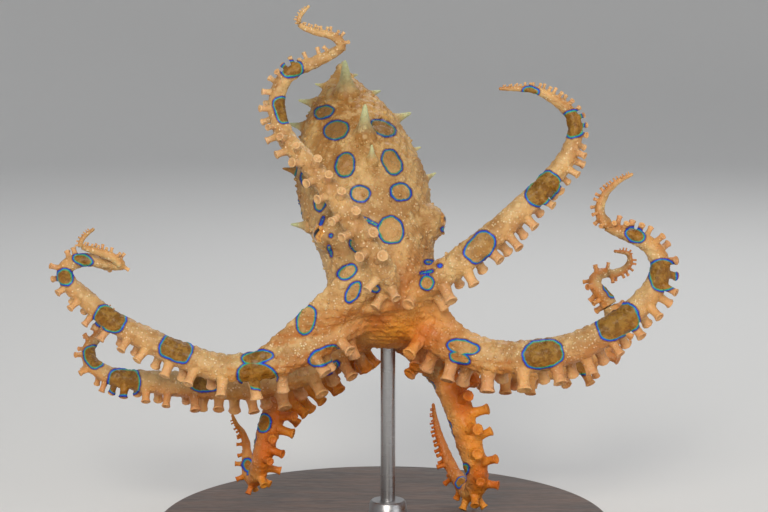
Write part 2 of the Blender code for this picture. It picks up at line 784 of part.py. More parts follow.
def build_crown(body, arms, skin):
    """The core and the eight arm roots, modelled whole with their webs and parted by thin cuts."""
    pieces = [loft(body, HEAD_END + GAP, body.length), ball(HUB_AT, HUB_SIZE, HUB_TILT)]
    for arm in arms.values():
        end = arm.cuts()[0]
        pieces.append(tube(arm, 0.0, end, False))
        pieces.extend(suckers(arm, FIRST_SUCKER - 1, end))
    for one, two, reach_one, reach_two, drawn_in in WEBS:
        pieces.append(web_sheet(arms[one], arms[two], reach_one, reach_two, drawn_in))
    rod = np.array([*ROD_AT, 0.0])
    up = np.array([0.0, 0.0, 1.0])
    across = np.array([1.0, 0.0, 0.0])
    ends = [rod + up * (ROD_TOP - SOCKET_DEPTH), rod + up * (ROD_TOP + GAP)]
    socket = turned(ends, [ROD_RADIUS + GAP] * 2, up, across, SOCKET_SIDES)
    slabs = [slab(arms, web) for web in WEBS if min(web[2:4]) > SHORT_WEB]
    shell = ball_shell(HUB_AT, CORE_RADIUS, GAP)
    fused("crown", pieces, skin, [socket, shell], HUB_AT)
    for name, arm in arms.items():
        end = arm.read(arm.cuts()[0])[0]
        fused(f"arm_{name}_root", pieces, skin, [socket, shell, *slabs], end)


def build_arms(arms, skin):
    """The free lengths of every arm, each with its suckers."""
    for name, arm in arms.items():
        cuts = arm.cuts()
        ends = cuts[1:] + [arm.length]
        for length_name, start, end in zip(LENGTH_NAMES, cuts, ends):
            last = length_name == LENGTH_NAMES[-1]
            pieces = [tube(arm, start + GAP, end, last)] + suckers(arm, start, end)
            fused(f"arm_{name}_{length_name}", pieces, skin)


def build_stand(wood, steel):
    """A round base with a bevelled upper edge, and a rod in a collar."""
    rod = np.array([*ROD_AT, 0.0])
    up = np.array([0.0, 0.0, 1.0])
    across = np.array([1.0, 0.0, 0.0])
    heights = [0.0, BASE_THICK - BASE_EDGE, BASE_THICK]
    radii = [BASE_RADIUS, BASE_RADIUS, BASE_RADIUS - BASE_EDGE]
    base = turned([up * h for h in heights], radii, up, across, BASE_SIDES)
    fused("stand_base", [base], wood)
    foot = BASE_THICK + GAP
    heights = [foot, foot + COLLAR_HIGH, foot + COLLAR_HIGH, ROD_TOP]
    radii = [COLLAR_RADIUS, COLLAR_RADIUS - COLLAR_TAPER, ROD_RADIUS, ROD_RADIUS]
    fused("stand_rod", [turned([rod + up * h for h in heights], radii, up, across, ROD_SIDES)], steel)


def build():
    clear_scene()
    random.seed(7)
    skin = material("skin", SKIN, 0.45)
    gold = material("eye", EYE_GOLD, 0.15)
    wood = material("base", WOOD, 0.35)
    steel = material("rod", STEEL, 0.3, 1.0)
    body = Body()
    arms = {name: Arm(name) for name in ROUTES}
    build_mantle(body, skin)
    build_head(body, skin, gold)
    build_crown(body, arms, skin)
    build_arms(arms, skin)
    build_stand(wood, steel)


build()
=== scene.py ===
"""Looks of a life-size blue-ringed octopus, hovering with its arms spread, on a display stand.

Shapes are worked out in millimetres in the frame's own axes and turned into metres when a mesh is made.
X runs to the animal's left arms, -Y to the viewer, +Z up; the stand's underside is at Z = 0.
"""

import math

import bpy
import numpy as np
from mathutils import Matrix
from mathutils.bvhtree import BVHTree


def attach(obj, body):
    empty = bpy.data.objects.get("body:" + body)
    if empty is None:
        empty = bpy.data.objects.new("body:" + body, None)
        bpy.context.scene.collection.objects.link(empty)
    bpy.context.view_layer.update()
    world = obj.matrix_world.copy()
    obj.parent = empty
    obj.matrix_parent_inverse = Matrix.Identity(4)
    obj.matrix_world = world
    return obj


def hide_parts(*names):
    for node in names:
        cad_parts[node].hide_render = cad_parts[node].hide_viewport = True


MM = 0.001
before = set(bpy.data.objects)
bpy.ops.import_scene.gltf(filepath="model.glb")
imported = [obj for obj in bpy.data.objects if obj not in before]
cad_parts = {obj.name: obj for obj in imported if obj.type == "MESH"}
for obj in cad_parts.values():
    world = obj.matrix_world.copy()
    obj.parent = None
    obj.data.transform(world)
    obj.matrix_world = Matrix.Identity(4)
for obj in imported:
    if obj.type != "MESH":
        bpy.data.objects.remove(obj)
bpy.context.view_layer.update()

# Stand: a turned base with a rounded top edge, and a rod in a collar that ends inside the crown
BASE_RADIUS = 46.0
BASE_THICK = 4.0
BASE_EDGE = 0.8
BASE_EDGE_POINTS = 7
BASE_BEVEL = 0.25
BASE_UNDER_RING = 40.0
BASE_TOP_RING = 38.0
BASE_SIDES = 160
ROD_RADIUS = 1.5
ROD_AT = (0.8, 2.6)
ROD_TOP = 42.6
ROD_SIDES = 48
ROD_SHARP_EDGE = math.radians(40)
COLLAR_RADIUS = 4.0
COLLAR_HIGH = 3.0
COLLAR_TAPER = 0.3
COLLAR_SHOULDER = 0.4
STEEL_BEVEL = 0.2
GAP = 0.3

# Smooth lines: points worked out between two given ones, and steps at which they are kept
SPAN_POINTS = 24
ARM_TABLE_STEP = 0.2
BODY_TABLE_STEP = 0.25

# Arms: radius at the tip and the power of the taper, thickest radius, how far out each is part of the
# body's skin, and the grid of its own skin
TIP_RADIUS = 0.3
TAPER = 1.8
ARM_RADIUS = {"r1": 2.5, "r2": 3.1, "r3": 3.5, "r4": 3.3, "l1": 2.9, "l2": 3.6, "l3": 3.4, "l4": 3.2}
SKIN_REACH = {"r1": 23, "r2": 35, "r3": 26, "r4": 22, "l1": 19, "l2": 28, "l3": 23, "l4": 18}
ARM_SIDES = 28
ARM_STEP = 0.4
ROOT_STEP = 0.6

# Where an arm leaves the body's skin, the two skins overlap over a length and each thins by a depth to
# its end
HAND_OVER = 5.0
HAND_OVER_DEPTH = 0.32

# Rounded end of an arm: the last ring's share of the one before, and how far it stands out
TIP_SHARE = 0.4
TIP_REACH = 0.1

# Suckers: distance from one to the next as a share of the arm's radius and a fixed step, where the rows
# start and end, how far they lean, and how much one differs from another
SUCKER_PITCH = 0.92
SUCKER_STEP = 0.15
FIRST_SUCKER = 7.0
BARE_TIP = 0.8
SUCKER_LEAN = math.radians(30)
SUCKER_STRAY = 0.12
SUCKER_LONGER = 0.08
SUCKER_WIDER = 0.06
SUCKER_SIDES = 9

# A sucker's profile, in shares of the arm's radius: height above the arm's centre line and radius
SUCKER_PROFILE = (
    (0.50, 0.55),
    (0.92, 0.55),
    (1.14, 0.43),
    (1.45, 0.37),
    (1.85, 0.36),
    (2.05, 0.41),
    (2.17, 0.46),
    (2.22, 0.41),
    (2.15, 0.28),
    (2.06, 0.12),
)

# Paler tone of a sucker: where it starts and the span over which it grows, the row of the profile where
# the mouth starts, and the tone inside it and in its middle
CUP_FROM = 0.9
CUP_SPAN = 1.2
MOUTH_ROW = 8
MOUTH_TONE = 0.4
MOUTH_MIDDLE_TONE = 0.3

# Swelling of the arm under each sucker: share of the radius, its length in radii and its width in radians
PAD_SWELL = 0.16
PAD_LONG = 0.55
PAD_WIDE = 0.55

# Small lumps all over the skin: how high, how many waves cross a millimetre, the directions that they run
# in, how far each set is shifted, and the arm radius below which they fade
LUMP_HIGH = 0.11
LUMP_GAIN = 2.2
LUMP_WAVES = (0.35, 0.6, 1.0)
LUMP_SKEW = np.array([[0.83, 0.41, -0.37], [-0.29, 0.91, 0.31], [0.47, -0.22, 0.85]])
LUMP_SHIFT = 1.7
LUMP_FULL_RADIUS = 2.0

# Each arm's centre line: x, y, z and the way its suckers look (Left, Right, Up, Down, Front, Back as the
# viewer sees them; a letter said twice counts double)
ROUTES = {
    "r1": (
        (0.8, -7.1, 50.2, "F"),
        (0.4, -15.4, 56.1, "FD"),
        (-2.3, -16.2, 61.2, "F"),
        (-6.4, -13.9, 67.2, "F"),
        (-10.7, -11.1, 72.7, "F"),
        (-15.2, -8.8, 77.9, "F"),
        (-18.9, -6.7, 82.0, "FL"),
        (-20.8, -5.1, 86.6, "L"),
        (-20.6, -3.9, 91.2, "L"),
        (-18.4, -3.5, 94.5, "LU"),
        (-14.3, -3.2, 96.5, "UB"),
        (-10.6, -2.9, 98.2, "UB"),
        (-8.4, -3.2, 100.0, "R"),
        (-9.8, -3.9, 101.8, "RU"),
        (-13.1, -4.3, 102.7, "U"),
        (-16.2, -4.7, 103.9, "U"),
        (-16.4, -4.4, 105.7, "L"),
        (-14.6, -4.1, 107.8, "L"),
    ),
    "r2": (
        (-2.4, -4.5, 47.4, "DF"),
        (-8.7, -8.9, 44.9, "DDF"),
        (-15.7, -11.5, 41.0, "D"),
        (-23.4, -12.8, 38.5, "DDB"),
        (-31.6, -13.4, 38.0, "D"),
        (-39.2, -13.1, 40.3, "DDL"),
        (-46.7, -12.1, 43.5, "DDL"),
        (-53.5, -11.6, 47.2, "DDL"),
        (-58.6, -11.0, 51.5, "DL"),
        (-61.9, -10.6, 54.7, "L"),
        (-61.7, -10.7, 57.5, "LU"),
        (-58.1, -11.0, 58.8, "UB"),
        (-54.2, -11.1, 58.0, "B"),
        (-51.4, -11.6, 57.9, "R"),
        (-52.8, -12.9, 59.6, "U"),
        (-56.1, -12.7, 60.8, "U"),
        (-58.7, -13.1, 61.8, "LU"),
        (-58.1, -12.9, 63.5, "L"),
        (-56.2, -12.6, 65.1, "L"),
    ),
    "r3": (
        (-2.4, 1.1, 44.4, "D"),
        (-7.9, 3.5, 39.9, "D"),
        (-15.4, 2.8, 35.1, "D"),
        (-23.5, 1.4, 32.3, "D"),
        (-32.1, 0.3, 31.7, "D"),
        (-40.8, 0.4, 31.9, "D"),
        (-48.2, 0.4, 32.5, "D"),
        (-54.7, 0.6, 33.5, "D"),
        (-58.9, 1.9, 35.5, "DL"),
        (-60.0, 4.3, 38.3, "L"),
        (-58.5, 7.6, 40.4, "LU"),
        (-56.7, 10.9, 42.1, "LU"),
        (-56.4, 13.7, 43.9, "U"),
        (-58.1, 15.9, 45.5, "U"),
    ),
    "r4": (
        (-2.0, 5.0, 42.9, "D"),
        (-7.4, 10.3, 37.8, "D"),
        (-14.1, 13.5, 31.8, "DR"),
        (-19.1, 12.9, 27.8, "RD"),
        (-22.1, 9.5, 25.0, "R"),
        (-23.8, 6.4, 21.0, "RF"),
        (-24.8, 4.8, 16.8, "RF"),
        (-25.7, 5.8, 12.8, "RD"),
        (-26.9, 8.9, 10.1, "D"),
        (-28.4, 12.6, 11.1, "LB"),
        (-28.7, 15.1, 14.4, "LB"),
        (-29.4, 16.5, 17.5, "L"),
        (-31.1, 17.4, 19.9, "LU"),
        (-32.0, 17.7, 21.9, "L"),
    ),
    "l1": (
        (2.0, -5.2, 49.9, "F"),
        (6.7, -9.8, 52.9, "DF"),
        (11.1, -11.9, 56.1, "RD"),
        (15.9, -12.4, 59.7, "RD"),
        (21.4, -11.8, 64.0, "RD"),
        (26.8, -11.1, 69.0, "RD"),
        (31.8, -10.4, 74.0, "RRD"),
        (35.5, -9.7, 78.8, "R"),
        (37.1, -9.0, 83.8, "R"),
        (35.9, -8.5, 87.4, "RU"),
        (32.6, -8.1, 90.1, "U"),
        (29.1, -7.9, 91.7, "U"),
        (25.6, -7.9, 91.9, "U"),
        (22.3, -7.9, 91.9, "U"),
    ),
    "l2": (
        (2.8, -1.7, 46.1, "D"),
        (9.1, -5.0, 43.9, "DDF"),
        (14.6, -7.4, 41.1, "D"),
        (20.9, -8.7, 39.3, "D"),
        (28.8, -9.2, 39.4, "D"),
        (36.2, -9.0, 40.8, "D"),
        (42.5, -8.6, 43.5, "DDR"),
        (48.4, -8.5, 47.7, "DR"),
        (52.7, -7.9, 52.4, "RRD"),
        (54.3, -7.2, 57.0, "R"),
        (52.3, -6.7, 60.9, "RU"),
        (48.2, -6.4, 63.1, "U"),
        (44.3, -6.1, 64.8, "UL"),
        (42.5, -5.7, 67.7, "L"),
        (43.5, -5.3, 70.9, "L"),
        (46.0, -4.9, 73.4, "LU"),
        (49.0, -4.7, 75.0, "U"),
    ),
    "l3": (
        (3.2, 3.0, 43.7, "D"),
        (9.8, 6.5, 39.4, "D"),
        (17.7, 10.0, 36.0, "D"),
        (27.1, 12.2, 33.7, "D"),
        (36.2, 13.7, 33.0, "D"),
        (43.3, 14.9, 34.9, "DR"),
        (47.6, 16.5, 38.8, "R"),
        (48.1, 18.1, 42.8, "R"),
        (46.3, 19.1, 46.6, "L"),
        (44.3, 20.5, 49.2, "L"),
        (45.8, 22.7, 51.0, "LU"),
        (49.0, 23.3, 51.1, "D"),
        (51.7, 23.5, 52.8, "R"),
        (51.5, 23.8, 55.1, "R"),
        (48.6, 23.9, 55.7, "U"),
    ),
    "l4": (
        (1.6, 3.9, 42.3, "DF"),
        (7.4, 7.2, 37.6, "DF"),
        (11.4, 5.6, 33.5, "FR"),
        (14.0, 3.5, 29.1, "FR"),
        (15.6, 1.9, 24.7, "FR"),
        (17.0, 0.7, 20.2, "FR"),
        (18.3, 0.2, 16.0, "FR"),
        (18.9, 1.1, 11.8, "RDF"),
        (18.1, 4.6, 8.4, "D"),
        (16.4, 9.2, 8.5, "BD"),
        (14.4, 12.6, 11.1, "LB"),
        (12.8, 14.6, 14.5, "L"),
        (11.5, 15.6, 18.1, "L"),
        (10.7, 16.1, 21.6, "L"),
        (10.3, 16.0, 24.6, "L"),
    ),
}
LOOKS = {
    "L": (-1, 0, 0),
    "R": (1, 0, 0),
    "F": (0, -1, 0),
    "B": (0, 1, 0),
    "D": (0, 0, -1),
    "U": (0, 0, 1),
}

# Webs between neighbouring arms: how far along each arm they reach, and how far the edge is drawn in
WEBS = (
    ("r1", "r2", 18.0, 30.0, 0.04),
    ("r2", "r3", 20.0, 21.0, 0.30),
    ("r3", "r4", 16.0, 17.0, 0.30),
    ("r4", "l4", 11.0, 11.0, 0.22),
    ("l4", "l3", 13.0, 14.0, 0.30),
    ("l3", "l2", 18.0, 18.0, 0.30),
    ("l2", "l1", 23.0, 14.0, 0.25),
    ("l1", "r1", 9.0, 9.0, 0.35),
)
WEB_START = 0.12
WEB_THICK = 1.1
WEB_ROWS = 24
WEB_COLUMNS = 28

# Body from the mantle's tip down to the crown: x, y, z, half width, half depth
BODY = (
    (-9.1, 21.3, 94.8, 0.6, 0.5),
    (-8.9, 20.2, 92.4, 2.4, 2.2),
    (-8.5, 18.6, 89.6, 4.8, 4.3),
    (-7.8, 16.6, 86.0, 7.8, 6.8),
    (-7.0, 14.3, 82.1, 10.2, 8.8),
    (-6.1, 11.7, 77.8, 11.9, 10.2),
    (-5.1, 8.6, 73.4, 13.0, 11.0),
    (-4.0, 5.9, 69.6, 13.3, 11.0),
    (-3.4, 4.3, 67.2, 13.2, 10.8),
    (-2.2, 1.9, 63.2, 12.0, 9.8),
    (-1.4, 0.2, 59.6, 11.6, 9.6),
    (-0.8, -1.3, 56.2, 11.0, 9.4),
    (-0.2, -2.8, 52.6, 11.0, 9.4),
    (0.4, -4.3, 49.2, 11.0, 9.0),
    (0.8, -5.7, 46.0, 9.0, 8.0),
)
BODY_SIDES = 72
BODY_STEP = 0.6
BODY_YAW = math.radians(18)

# The hub under the crown, an egg that the arms grow from: middle, half sizes and tilt
HUB_AT = (0.8, -0.9, 47.4)
HUB_SIZE = (12.0, 12.0, 7.0)
HUB_TILT = math.radians(-33)

# Body skin: size of the cells that it is fused on, how often and how strongly it is smoothed, and the
# height above which it is all body
SKIN_CELL = 0.42
SKIN_SMOOTHING = 16
SMOOTHING_FACTOR = 0.5
BODY_SKIN_HEIGHT = 54.0
BALL_ROWS = 24
BALL_SIDES = 48

# Eyes: places on the head, how far they turn towards the back, and the ball's radius and how far it
# stands out
EYE_HEIGHT = 62.0
EYE_SIDE = 10.4
EYE_FRONT = 4.2
EYE_TURN = 0.45
EYE_RADIUS = 2.5
EYE_OUT = 1.0
EYE_ROWS = 28
EYE_SIDES = 48

# Eyelids: a mound round each eye, with an oval opening across and along it whose edge is this soft; the
# skin inside it is sunk into the eyeball, out to a little beyond the mound
LID_RADIUS = 3.9
LID_IN = 0.6
LID_OPENING = (math.radians(46), math.radians(34))
LID_EDGE = 0.16
LID_SUNK = 0.35
LID_BEYOND = 1.5

# Siphon, on the hidden side below the mantle's edge: its profile is share of the length and radius
SIPHON_HEIGHT = 62.0
SIPHON_LENGTH = 9.0
SIPHON_SUNK = 3.0
SIPHON_DOWN = 1.1
SIPHON_PROFILE = ((0.0, 2.5), (0.35, 2.3), (0.7, 1.8), (0.96, 1.5), (1.0, 1.3), (0.97, 1.05), (0.6, 0.9))
SIPHON_SIDES = 24

# Skin spikes: distance from the mantle's tip, degrees round the body from the middle of the back towards
# the left arms, length, and lean towards the tip
SPIKES = (
    (0.3, 0, 1.6, 0.35),
    (2.1, 100, 2.2, 0.35),
    (6.6, 95, 3.4, 0.35),
    (13.0, 88, 4.6, 0.35),
    (20.5, 84, 2.2, 0.35),
    (28.6, 82, 2.6, 0.35),
    (4.5, -96, 2.0, 0.35),
    (8.0, -96, 3.4, 0.35),
    (13.2, -95, 3.2, 0.35),
    (23.0, -98, 2.8, 0.35),
    (34.2, -99, 3.2, 0.35),
    (8.5, -10, 6.6, 0.9),
    (21.6, -4, 5.8, 0.9),
    (28.2, -1, 2.8, 0.9),
)

# Low spikes on the hidden side, in rows across it, each a little off its place
BACK_SPIKE_ROWS = (7.6, 16.6, 25.7)
BACK_SPIKE_ANGLES = (130, 180, 230)
BACK_SPIKE_LENGTH = 1.7
BACK_SPIKE_LEAN = 0.35
ROW_STRAY = 1.5
ANGLE_STRAY = 9.0

# A spike's flared profile, share of its length and of its root's radius, which grows with the length, and
# how fast it pales towards its point
SPIKE_SIDES = 12
SPIKE_PROFILE = (
    (-0.5, 1.5),
    (0.0, 1.15),
    (0.12, 0.85),
    (0.35, 0.55),
    (0.65, 0.36),
    (0.92, 0.2),
    (1.0, 0.05),
)
SPIKE_ROOT = 0.351
SPIKE_LEAST_ROOT = 0.1
SPIKE_PALING = 1.3

# Warts on the upper skin: how many, smallest and largest height and radius, and a blunt profile; they
# reach down to a cosine from the arms' dorsal side
WART_COUNT = 700
WART_HEIGHT = (0.15, 0.55)
WART_RADIUS = (0.25, 0.5)
WART_PROFILE = ((-0.6, 1.15), (0.0, 1.0), (0.45, 0.72), (0.85, 0.4), (1.0, 0.12))
WART_SIDES = 7
WART_LOWEST = -0.1

# Start of the order of random draws
SEED = 7

# The front view that the seen markings are placed in: picture points across and down, and points a
# millimetre at the distance that it looks from, the height of its middle and how far it looks down
VIEW_WIDE = 768
VIEW_HIGH = 512
VIEW_POINTS = 5.0
VIEW_DISTANCE = 430.0
VIEW_HEIGHT = 58.0
VIEW_TILT = math.radians(8)

# Markings seen from the front: place across and down, width, height in picture points, tilt in degrees,
# and how square the outline is (2 is an oval)
SEEN_RINGS = (
    (336, 130, 26, 19, -15, 2.0),
    (383, 128, 27, 15, 22, 2.2),
    (345, 165, 20, 25, 10, 2.0),
    (392, 162, 18, 27, -30, 2.2),
    (360, 194, 21, 17, 0, 2.0),
    (401, 192, 22, 18, 10, 2.0),
    (391, 230, 25, 28, -10, 2.2),
    (369, 221, 19, 3, 28, 2.0),
    (320, 203, 12, 18, 15, 2.0),
    (307, 178, 14, 17, 0, 2.0),
    (290, 156, 18, 14, 0, 2.0),
    (324, 112, 20, 13, -15, 2.0),
    (322, 221, 3, 9, 20, 2.0),
    (331, 236, 4, 4, 0, 2.0),
    (330, 250, 3, 14, -15, 2.0),
    (354, 246, 7, 14, -30, 2.0),
    (347, 272, 20, 14, -30, 2.0),
    (353, 292, 13, 24, 30, 2.0),
    (306, 320, 20, 30, 15, 2.0),
    (427, 283, 14, 15, 0, 2.0),
    (427, 272, 13, 3, -10, 2.0),
    (429, 262, 9, 5, 0, 2.0),
    (440, 266, 5, 4, 0, 2.0),
    (443, 229, 4, 5, 0, 2.0),
    (374, 288, 12, 8, 20, 2.0),
    (257, 357, 33, 13, -8, 2.0),
    (257, 376, 41, 26, 10, 2.2),
    (324, 356, 34, 17, -25, 2.2),
    (332, 368, 19, 9, -40, 2.0),
    (455, 312, 3, 26, -20, 2.0),
    (463, 347, 33, 15, 10, 2.0),
    (460, 358, 22, 11, 20, 2.0),
)

# Saddles across the arms, which run over the arm's edge and down its far side
SEEN_SADDLES = (
    (283, 110, 17, 27, -17, 3.0),
    (292, 69, 22, 17, 0, 2.4),
    (110, 319, 32, 24, 24, 3.0),
    (176, 349, 33, 25, 24, 3.0),
    (65, 277, 17, 17, 0, 2.2),
    (83, 260, 21, 12, 15, 2.2),
    (124, 382, 33, 28, 0, 3.0),
    (94, 357, 19, 24, -30, 2.4),
    (205, 380, 34, 24, 0, 2.4),
    (264, 423, 14, 19, 10, 2.0),
    (248, 465, 11, 14, 0, 2.0),
    (480, 247, 34, 24, -50, 3.0),
    (543, 189, 38, 26, -47, 3.0),
    (573, 124, 22, 28, -12, 2.6),
    (531, 91, 18, 9, 8, 2.0),
    (543, 354, 41, 29, -8, 2.4),
    (581, 366, 22, 18, 0, 2.2),
    (618, 322, 44, 31, -27, 3.0),
    (663, 275, 27, 33, -12, 3.0),
    (635, 235, 20, 15, 20, 2.2),
    (614, 295, 11, 7, 0, 2.0),
    (432, 422, 6, 15, 0, 2.0),
    (465, 469, 9, 12, 0, 2.0),
)

# Markings on the hidden side of the body: height, degrees round from the middle of the back, width,
# height
HIDDEN_RINGS = (
    (84.0, 120.0, 4.4, 3.6),
    (77.0, 155.0, 4.8, 4.0),
    (84.0, 200.0, 4.2, 3.6),
    (77.0, 235.0, 4.6, 4.2),
    (69.5, 128.0, 4.6, 4.0),
    (69.5, 190.0, 4.8, 4.2),
    (69.5, 250.0, 4.4, 4.0),
    (76.0, -98.0, 4.0, 4.6),
    (56.0, 130.0, 4.2, 3.4),
    (55.0, 225.0, 4.2, 3.4),
)

# Saddles on the dorsal side of the arms that the front view hides: arm, distances along it
HIDDEN_SADDLES = {
    "r1": (27.0, 37.0),
    "r3": (22.0, 36.0),
    "r4": (17.0, 27.0, 39.0, 51.0),
    "l3": (17.0, 28.0, 39.0, 50.0, 60.0),
    "l4": (15.0, 26.0, 37.0, 48.0),
}

# A hidden saddle's half length along the arm and half width round it in arm radii, how square it is, and
# how far from the arm it still marks the skin
SADDLE_LONG = 1.15
SADDLE_WIDE = 1.2
SADDLE_SQUARE = 2.6
SADDLE_DEEP = 0.9

# A seen marking holds from just before the depth of its middle to well behind it, and a ring only on skin
# that faces the view; a hidden ring holds this far from its middle's plane
SEEN_BEFORE = 3.0
SEEN_DEPTH = 9.0
LEAST_FACING = 0.02
RING_DEEP = 3.0

# The distance kept where no marking is near
FAR = 9.0

# The search for the nearest arm: step along the arms, and places compared at a time
SEARCH_STEP = 0.5
SEARCH_BATCH = 20000

# The mantle's browner tone grows between two heights, and stops at a leaning plane, so that the arm in
# front of it keeps the arms' tone: the plane's Y at a height, its lean, and the depth over which the tone
# ends
MANTLE_TONE = (58.0, 84.0)
MANTLE_FRONT = -15.0
MANTLE_FRONT_HEIGHT = 60.0
MANTLE_FRONT_LEAN = 0.1
MANTLE_FRONT_BLEND = 3.0

# Amber on undersides: how far round it starts, how fast it grows on the body, the height below which the
# body has it, its share on the body and on each arm, and the share that the arms held low have all round,
# partly their orange-brown skin and partly painted shade
UNDER_FROM = 0.35
UNDER_GAIN = 1.3
AMBER_TOP = 56.0
AMBER_FADE = 8.0
BODY_AMBER = 0.6
ARM_AMBER = {"r1": 0.1, "r2": 0.3, "r3": 0.5, "r4": 1.0, "l1": 0.25, "l2": 0.4, "l3": 0.6, "l4": 1.0}
LOW_ARM = 0.9
LOW_ARM_AMBER_AND_SHADE = 0.65

# Painted glow of light shining through the crown and the webs beside it, laid on as amber: middle and
# size
PAINTED_GLOW_AT = (3.2, -6.0, 44.5)
PAINTED_GLOW_SIZE = 11.5

# Rings near the head keep the skin's colour inside: middle, and the distances between which that ends
BARE_AT = (0.0, -4.0, 52.0)
BARE_REACH = (21.0, 29.0)

# Round stage
STAGE_RADIUS = 1300.0
STAGE_BEND = 500.0
STAGE_BEND_POINTS = 24
STAGE_HIGH = 1100.0
STAGE_MIDDLE = 1.0
STAGE_SIDES = 96

# Lights: name, place, size, power and colour, all looking at one place
LIGHTS = (
    ("key", (-90, -600, 400), 240, 2.95, (1.0, 0.94, 0.84)),
    ("fill", (520, -420, 220), 420, 0.8, (1.0, 1.0, 1.0)),
    ("rim", (150, 420, 520), 300, 1.1, (1.0, 1.0, 1.0)),
)
LIT_PLACE = (0, 0, 55)
SKY_COLOUR = (0.9, 0.93, 1.0, 1.0)
SKY_STRENGTH = 0.36
SENSOR_WIDTH = 36.0
NEAREST_SEEN = 0.01

# Skin tones: the arms' peach, the mantle's brown, patches, dots and blots on both, amber (also used for
# the painted glow of light through the crown and webs), suckers and spike tips
PEACH = (0.44, 0.235, 0.080)
PALE_PEACH = (0.62, 0.395, 0.17)
BROWN = (0.35, 0.155, 0.030)
PALE_BROWN = (0.50, 0.265, 0.070)
PALE_PATCH = (0.74, 0.50, 0.22)
DARK_PATCH = (0.30, 0.125, 0.03)
CREAM_DOT = (0.93, 0.76, 0.48)
MANTLE_DOT = (0.62, 0.42, 0.17)
SAND_BLOT = (0.80, 0.62, 0.32)
DEEP_AMBER = (0.60, 0.135, 0.004)
LIGHT_AMBER = (0.78, 0.28, 0.02)
CUP_CREAM = (0.86, 0.56, 0.30)
TIP_GREEN = (0.52, 0.60, 0.34)

# Fill of the rings: dark and light grain, low and high on the mantle, and in the amber and the painted
# glow
FILL_DARK = (0.19, 0.083, 0.006)
FILL_LIGHT = (0.32, 0.165, 0.024)
FILL_MANTLE_LOW = (0.60, 0.285, 0.07)
FILL_MANTLE_HIGH = (0.25, 0.125, 0.03)
FILL_AMBER = (0.60, 0.20, 0.01)

# Bands of a ring from its outside in: distances from its outline, in millimetres, between which each
# comes up
SHADE_BAND = (0.45, 0.1)
OUTER_BAND = (0.12, 0.03)
INNER_BAND = (-0.03, -0.13)
EDGE_BAND = (-0.16, -0.26)
FILL_BAND = (-0.28, -0.46)

# Their colours: the outer line, the inner line and the inner edge, the last two wavering between two
# colours along the ring, and each one's darker colour on the mantle
SHADE = (0.11, 0.05, 0.02)
OUTER_BLUE = (0.012, 0.02, 0.55)
OUTER_MANTLE = (0.004, 0.012, 0.09)
INNER_BLUE = (0.012, 0.12, 0.68)
INNER_TEAL = (0.01, 0.30, 0.36)
INNER_MANTLE = (0.01, 0.07, 0.14)
EDGE_TEAL = (0.02, 0.29, 0.24)
EDGE_GREEN = (0.08, 0.37, 0.13)
EDGE_MANTLE = (0.04, 0.13, 0.06)

# Skin patterns, in waves or cells a metre
BROAD_WAVES = 110.0
SIDE_WAVES = 160.0
PATCH_WAVES = 330.0
BLOT_CELLS = 420.0
WAVER_WAVES = 450.0
FINE_WAVES = 800.0
DOT_CELLS = 1500.0

# Eye, in shares of its radius: the slanted pupil's direction across the eye, half length, half height and
# soft edge, and where the iris darkens
PUPIL_LONG = (0.9, -0.44)
PUPIL_SHORT = (0.44, 0.9)
PUPIL_HALF = (0.42, 0.13)
PUPIL_EDGE = 0.05
IRIS_RIM = (0.72, 0.9)
IRIS_FLECKS = 1800.0
IRIS_BROWN = (0.45, 0.16, 0.02)
IRIS_GOLD = (0.85, 0.42, 0.08)
IRIS_RIM_COLOUR = (0.05, 0.02, 0.02)
PUPIL_BLACK = (0.004, 0.004, 0.005)

# Stand and floor: colours, and how many times closer the streaks lie along each axis
DARK_WOOD = (0.050, 0.022, 0.012)
LIGHT_WOOD = (0.13, 0.062, 0.034)
WOOD_STRETCH = (1.0, 9.0, 9.0)
STEEL_GREY = (0.40, 0.40, 0.41, 1.0)
STEEL_STRETCH = (1.0, 1.0, 60.0)
FLOOR_GREY = (0.80, 0.80, 0.79, 1.0)


def unit(v):
    """The same directions at length one."""
    v = np.asarray(v, float)
    return v / np.maximum(np.linalg.norm(v, axis=-1, keepdims=True), 1e-12)


def spline(rows, step):
    """A smooth curve through the rows: each span is the cubic whose slope at a row joins that row's
    neighbours, read again at equal steps along it. The first three columns are a place."""
    rows = np.asarray(rows, float)
    ends = np.vstack([2 * rows[0] - rows[1], rows, 2 * rows[-1] - rows[-2]])
    a, b, c, d = (ends[i : len(ends) - 3 + i, None] for i in range(4))
    t = np.linspace(0, 1, SPAN_POINTS, endpoint=False)[None, :, None]
    square = (2 * a - 5 * b + 4 * c - d) * t**2
    cube = (3 * b - a - 3 * c + d) * t**3
    fine = (0.5 * (2 * b + (c - a) * t + square + cube)).reshape(-1, rows.shape[1])
    fine = np.vstack([fine, rows[-1:]])
    along = np.concatenate([[0], np.cumsum(np.linalg.norm(np.diff(fine[:, :3], axis=0), axis=1))])
    at = np.linspace(0, along[-1], int(round(along[-1] / step)) + 1)
    return at, np.stack([np.interp(at, along, column) for column in fine.T], axis=1)


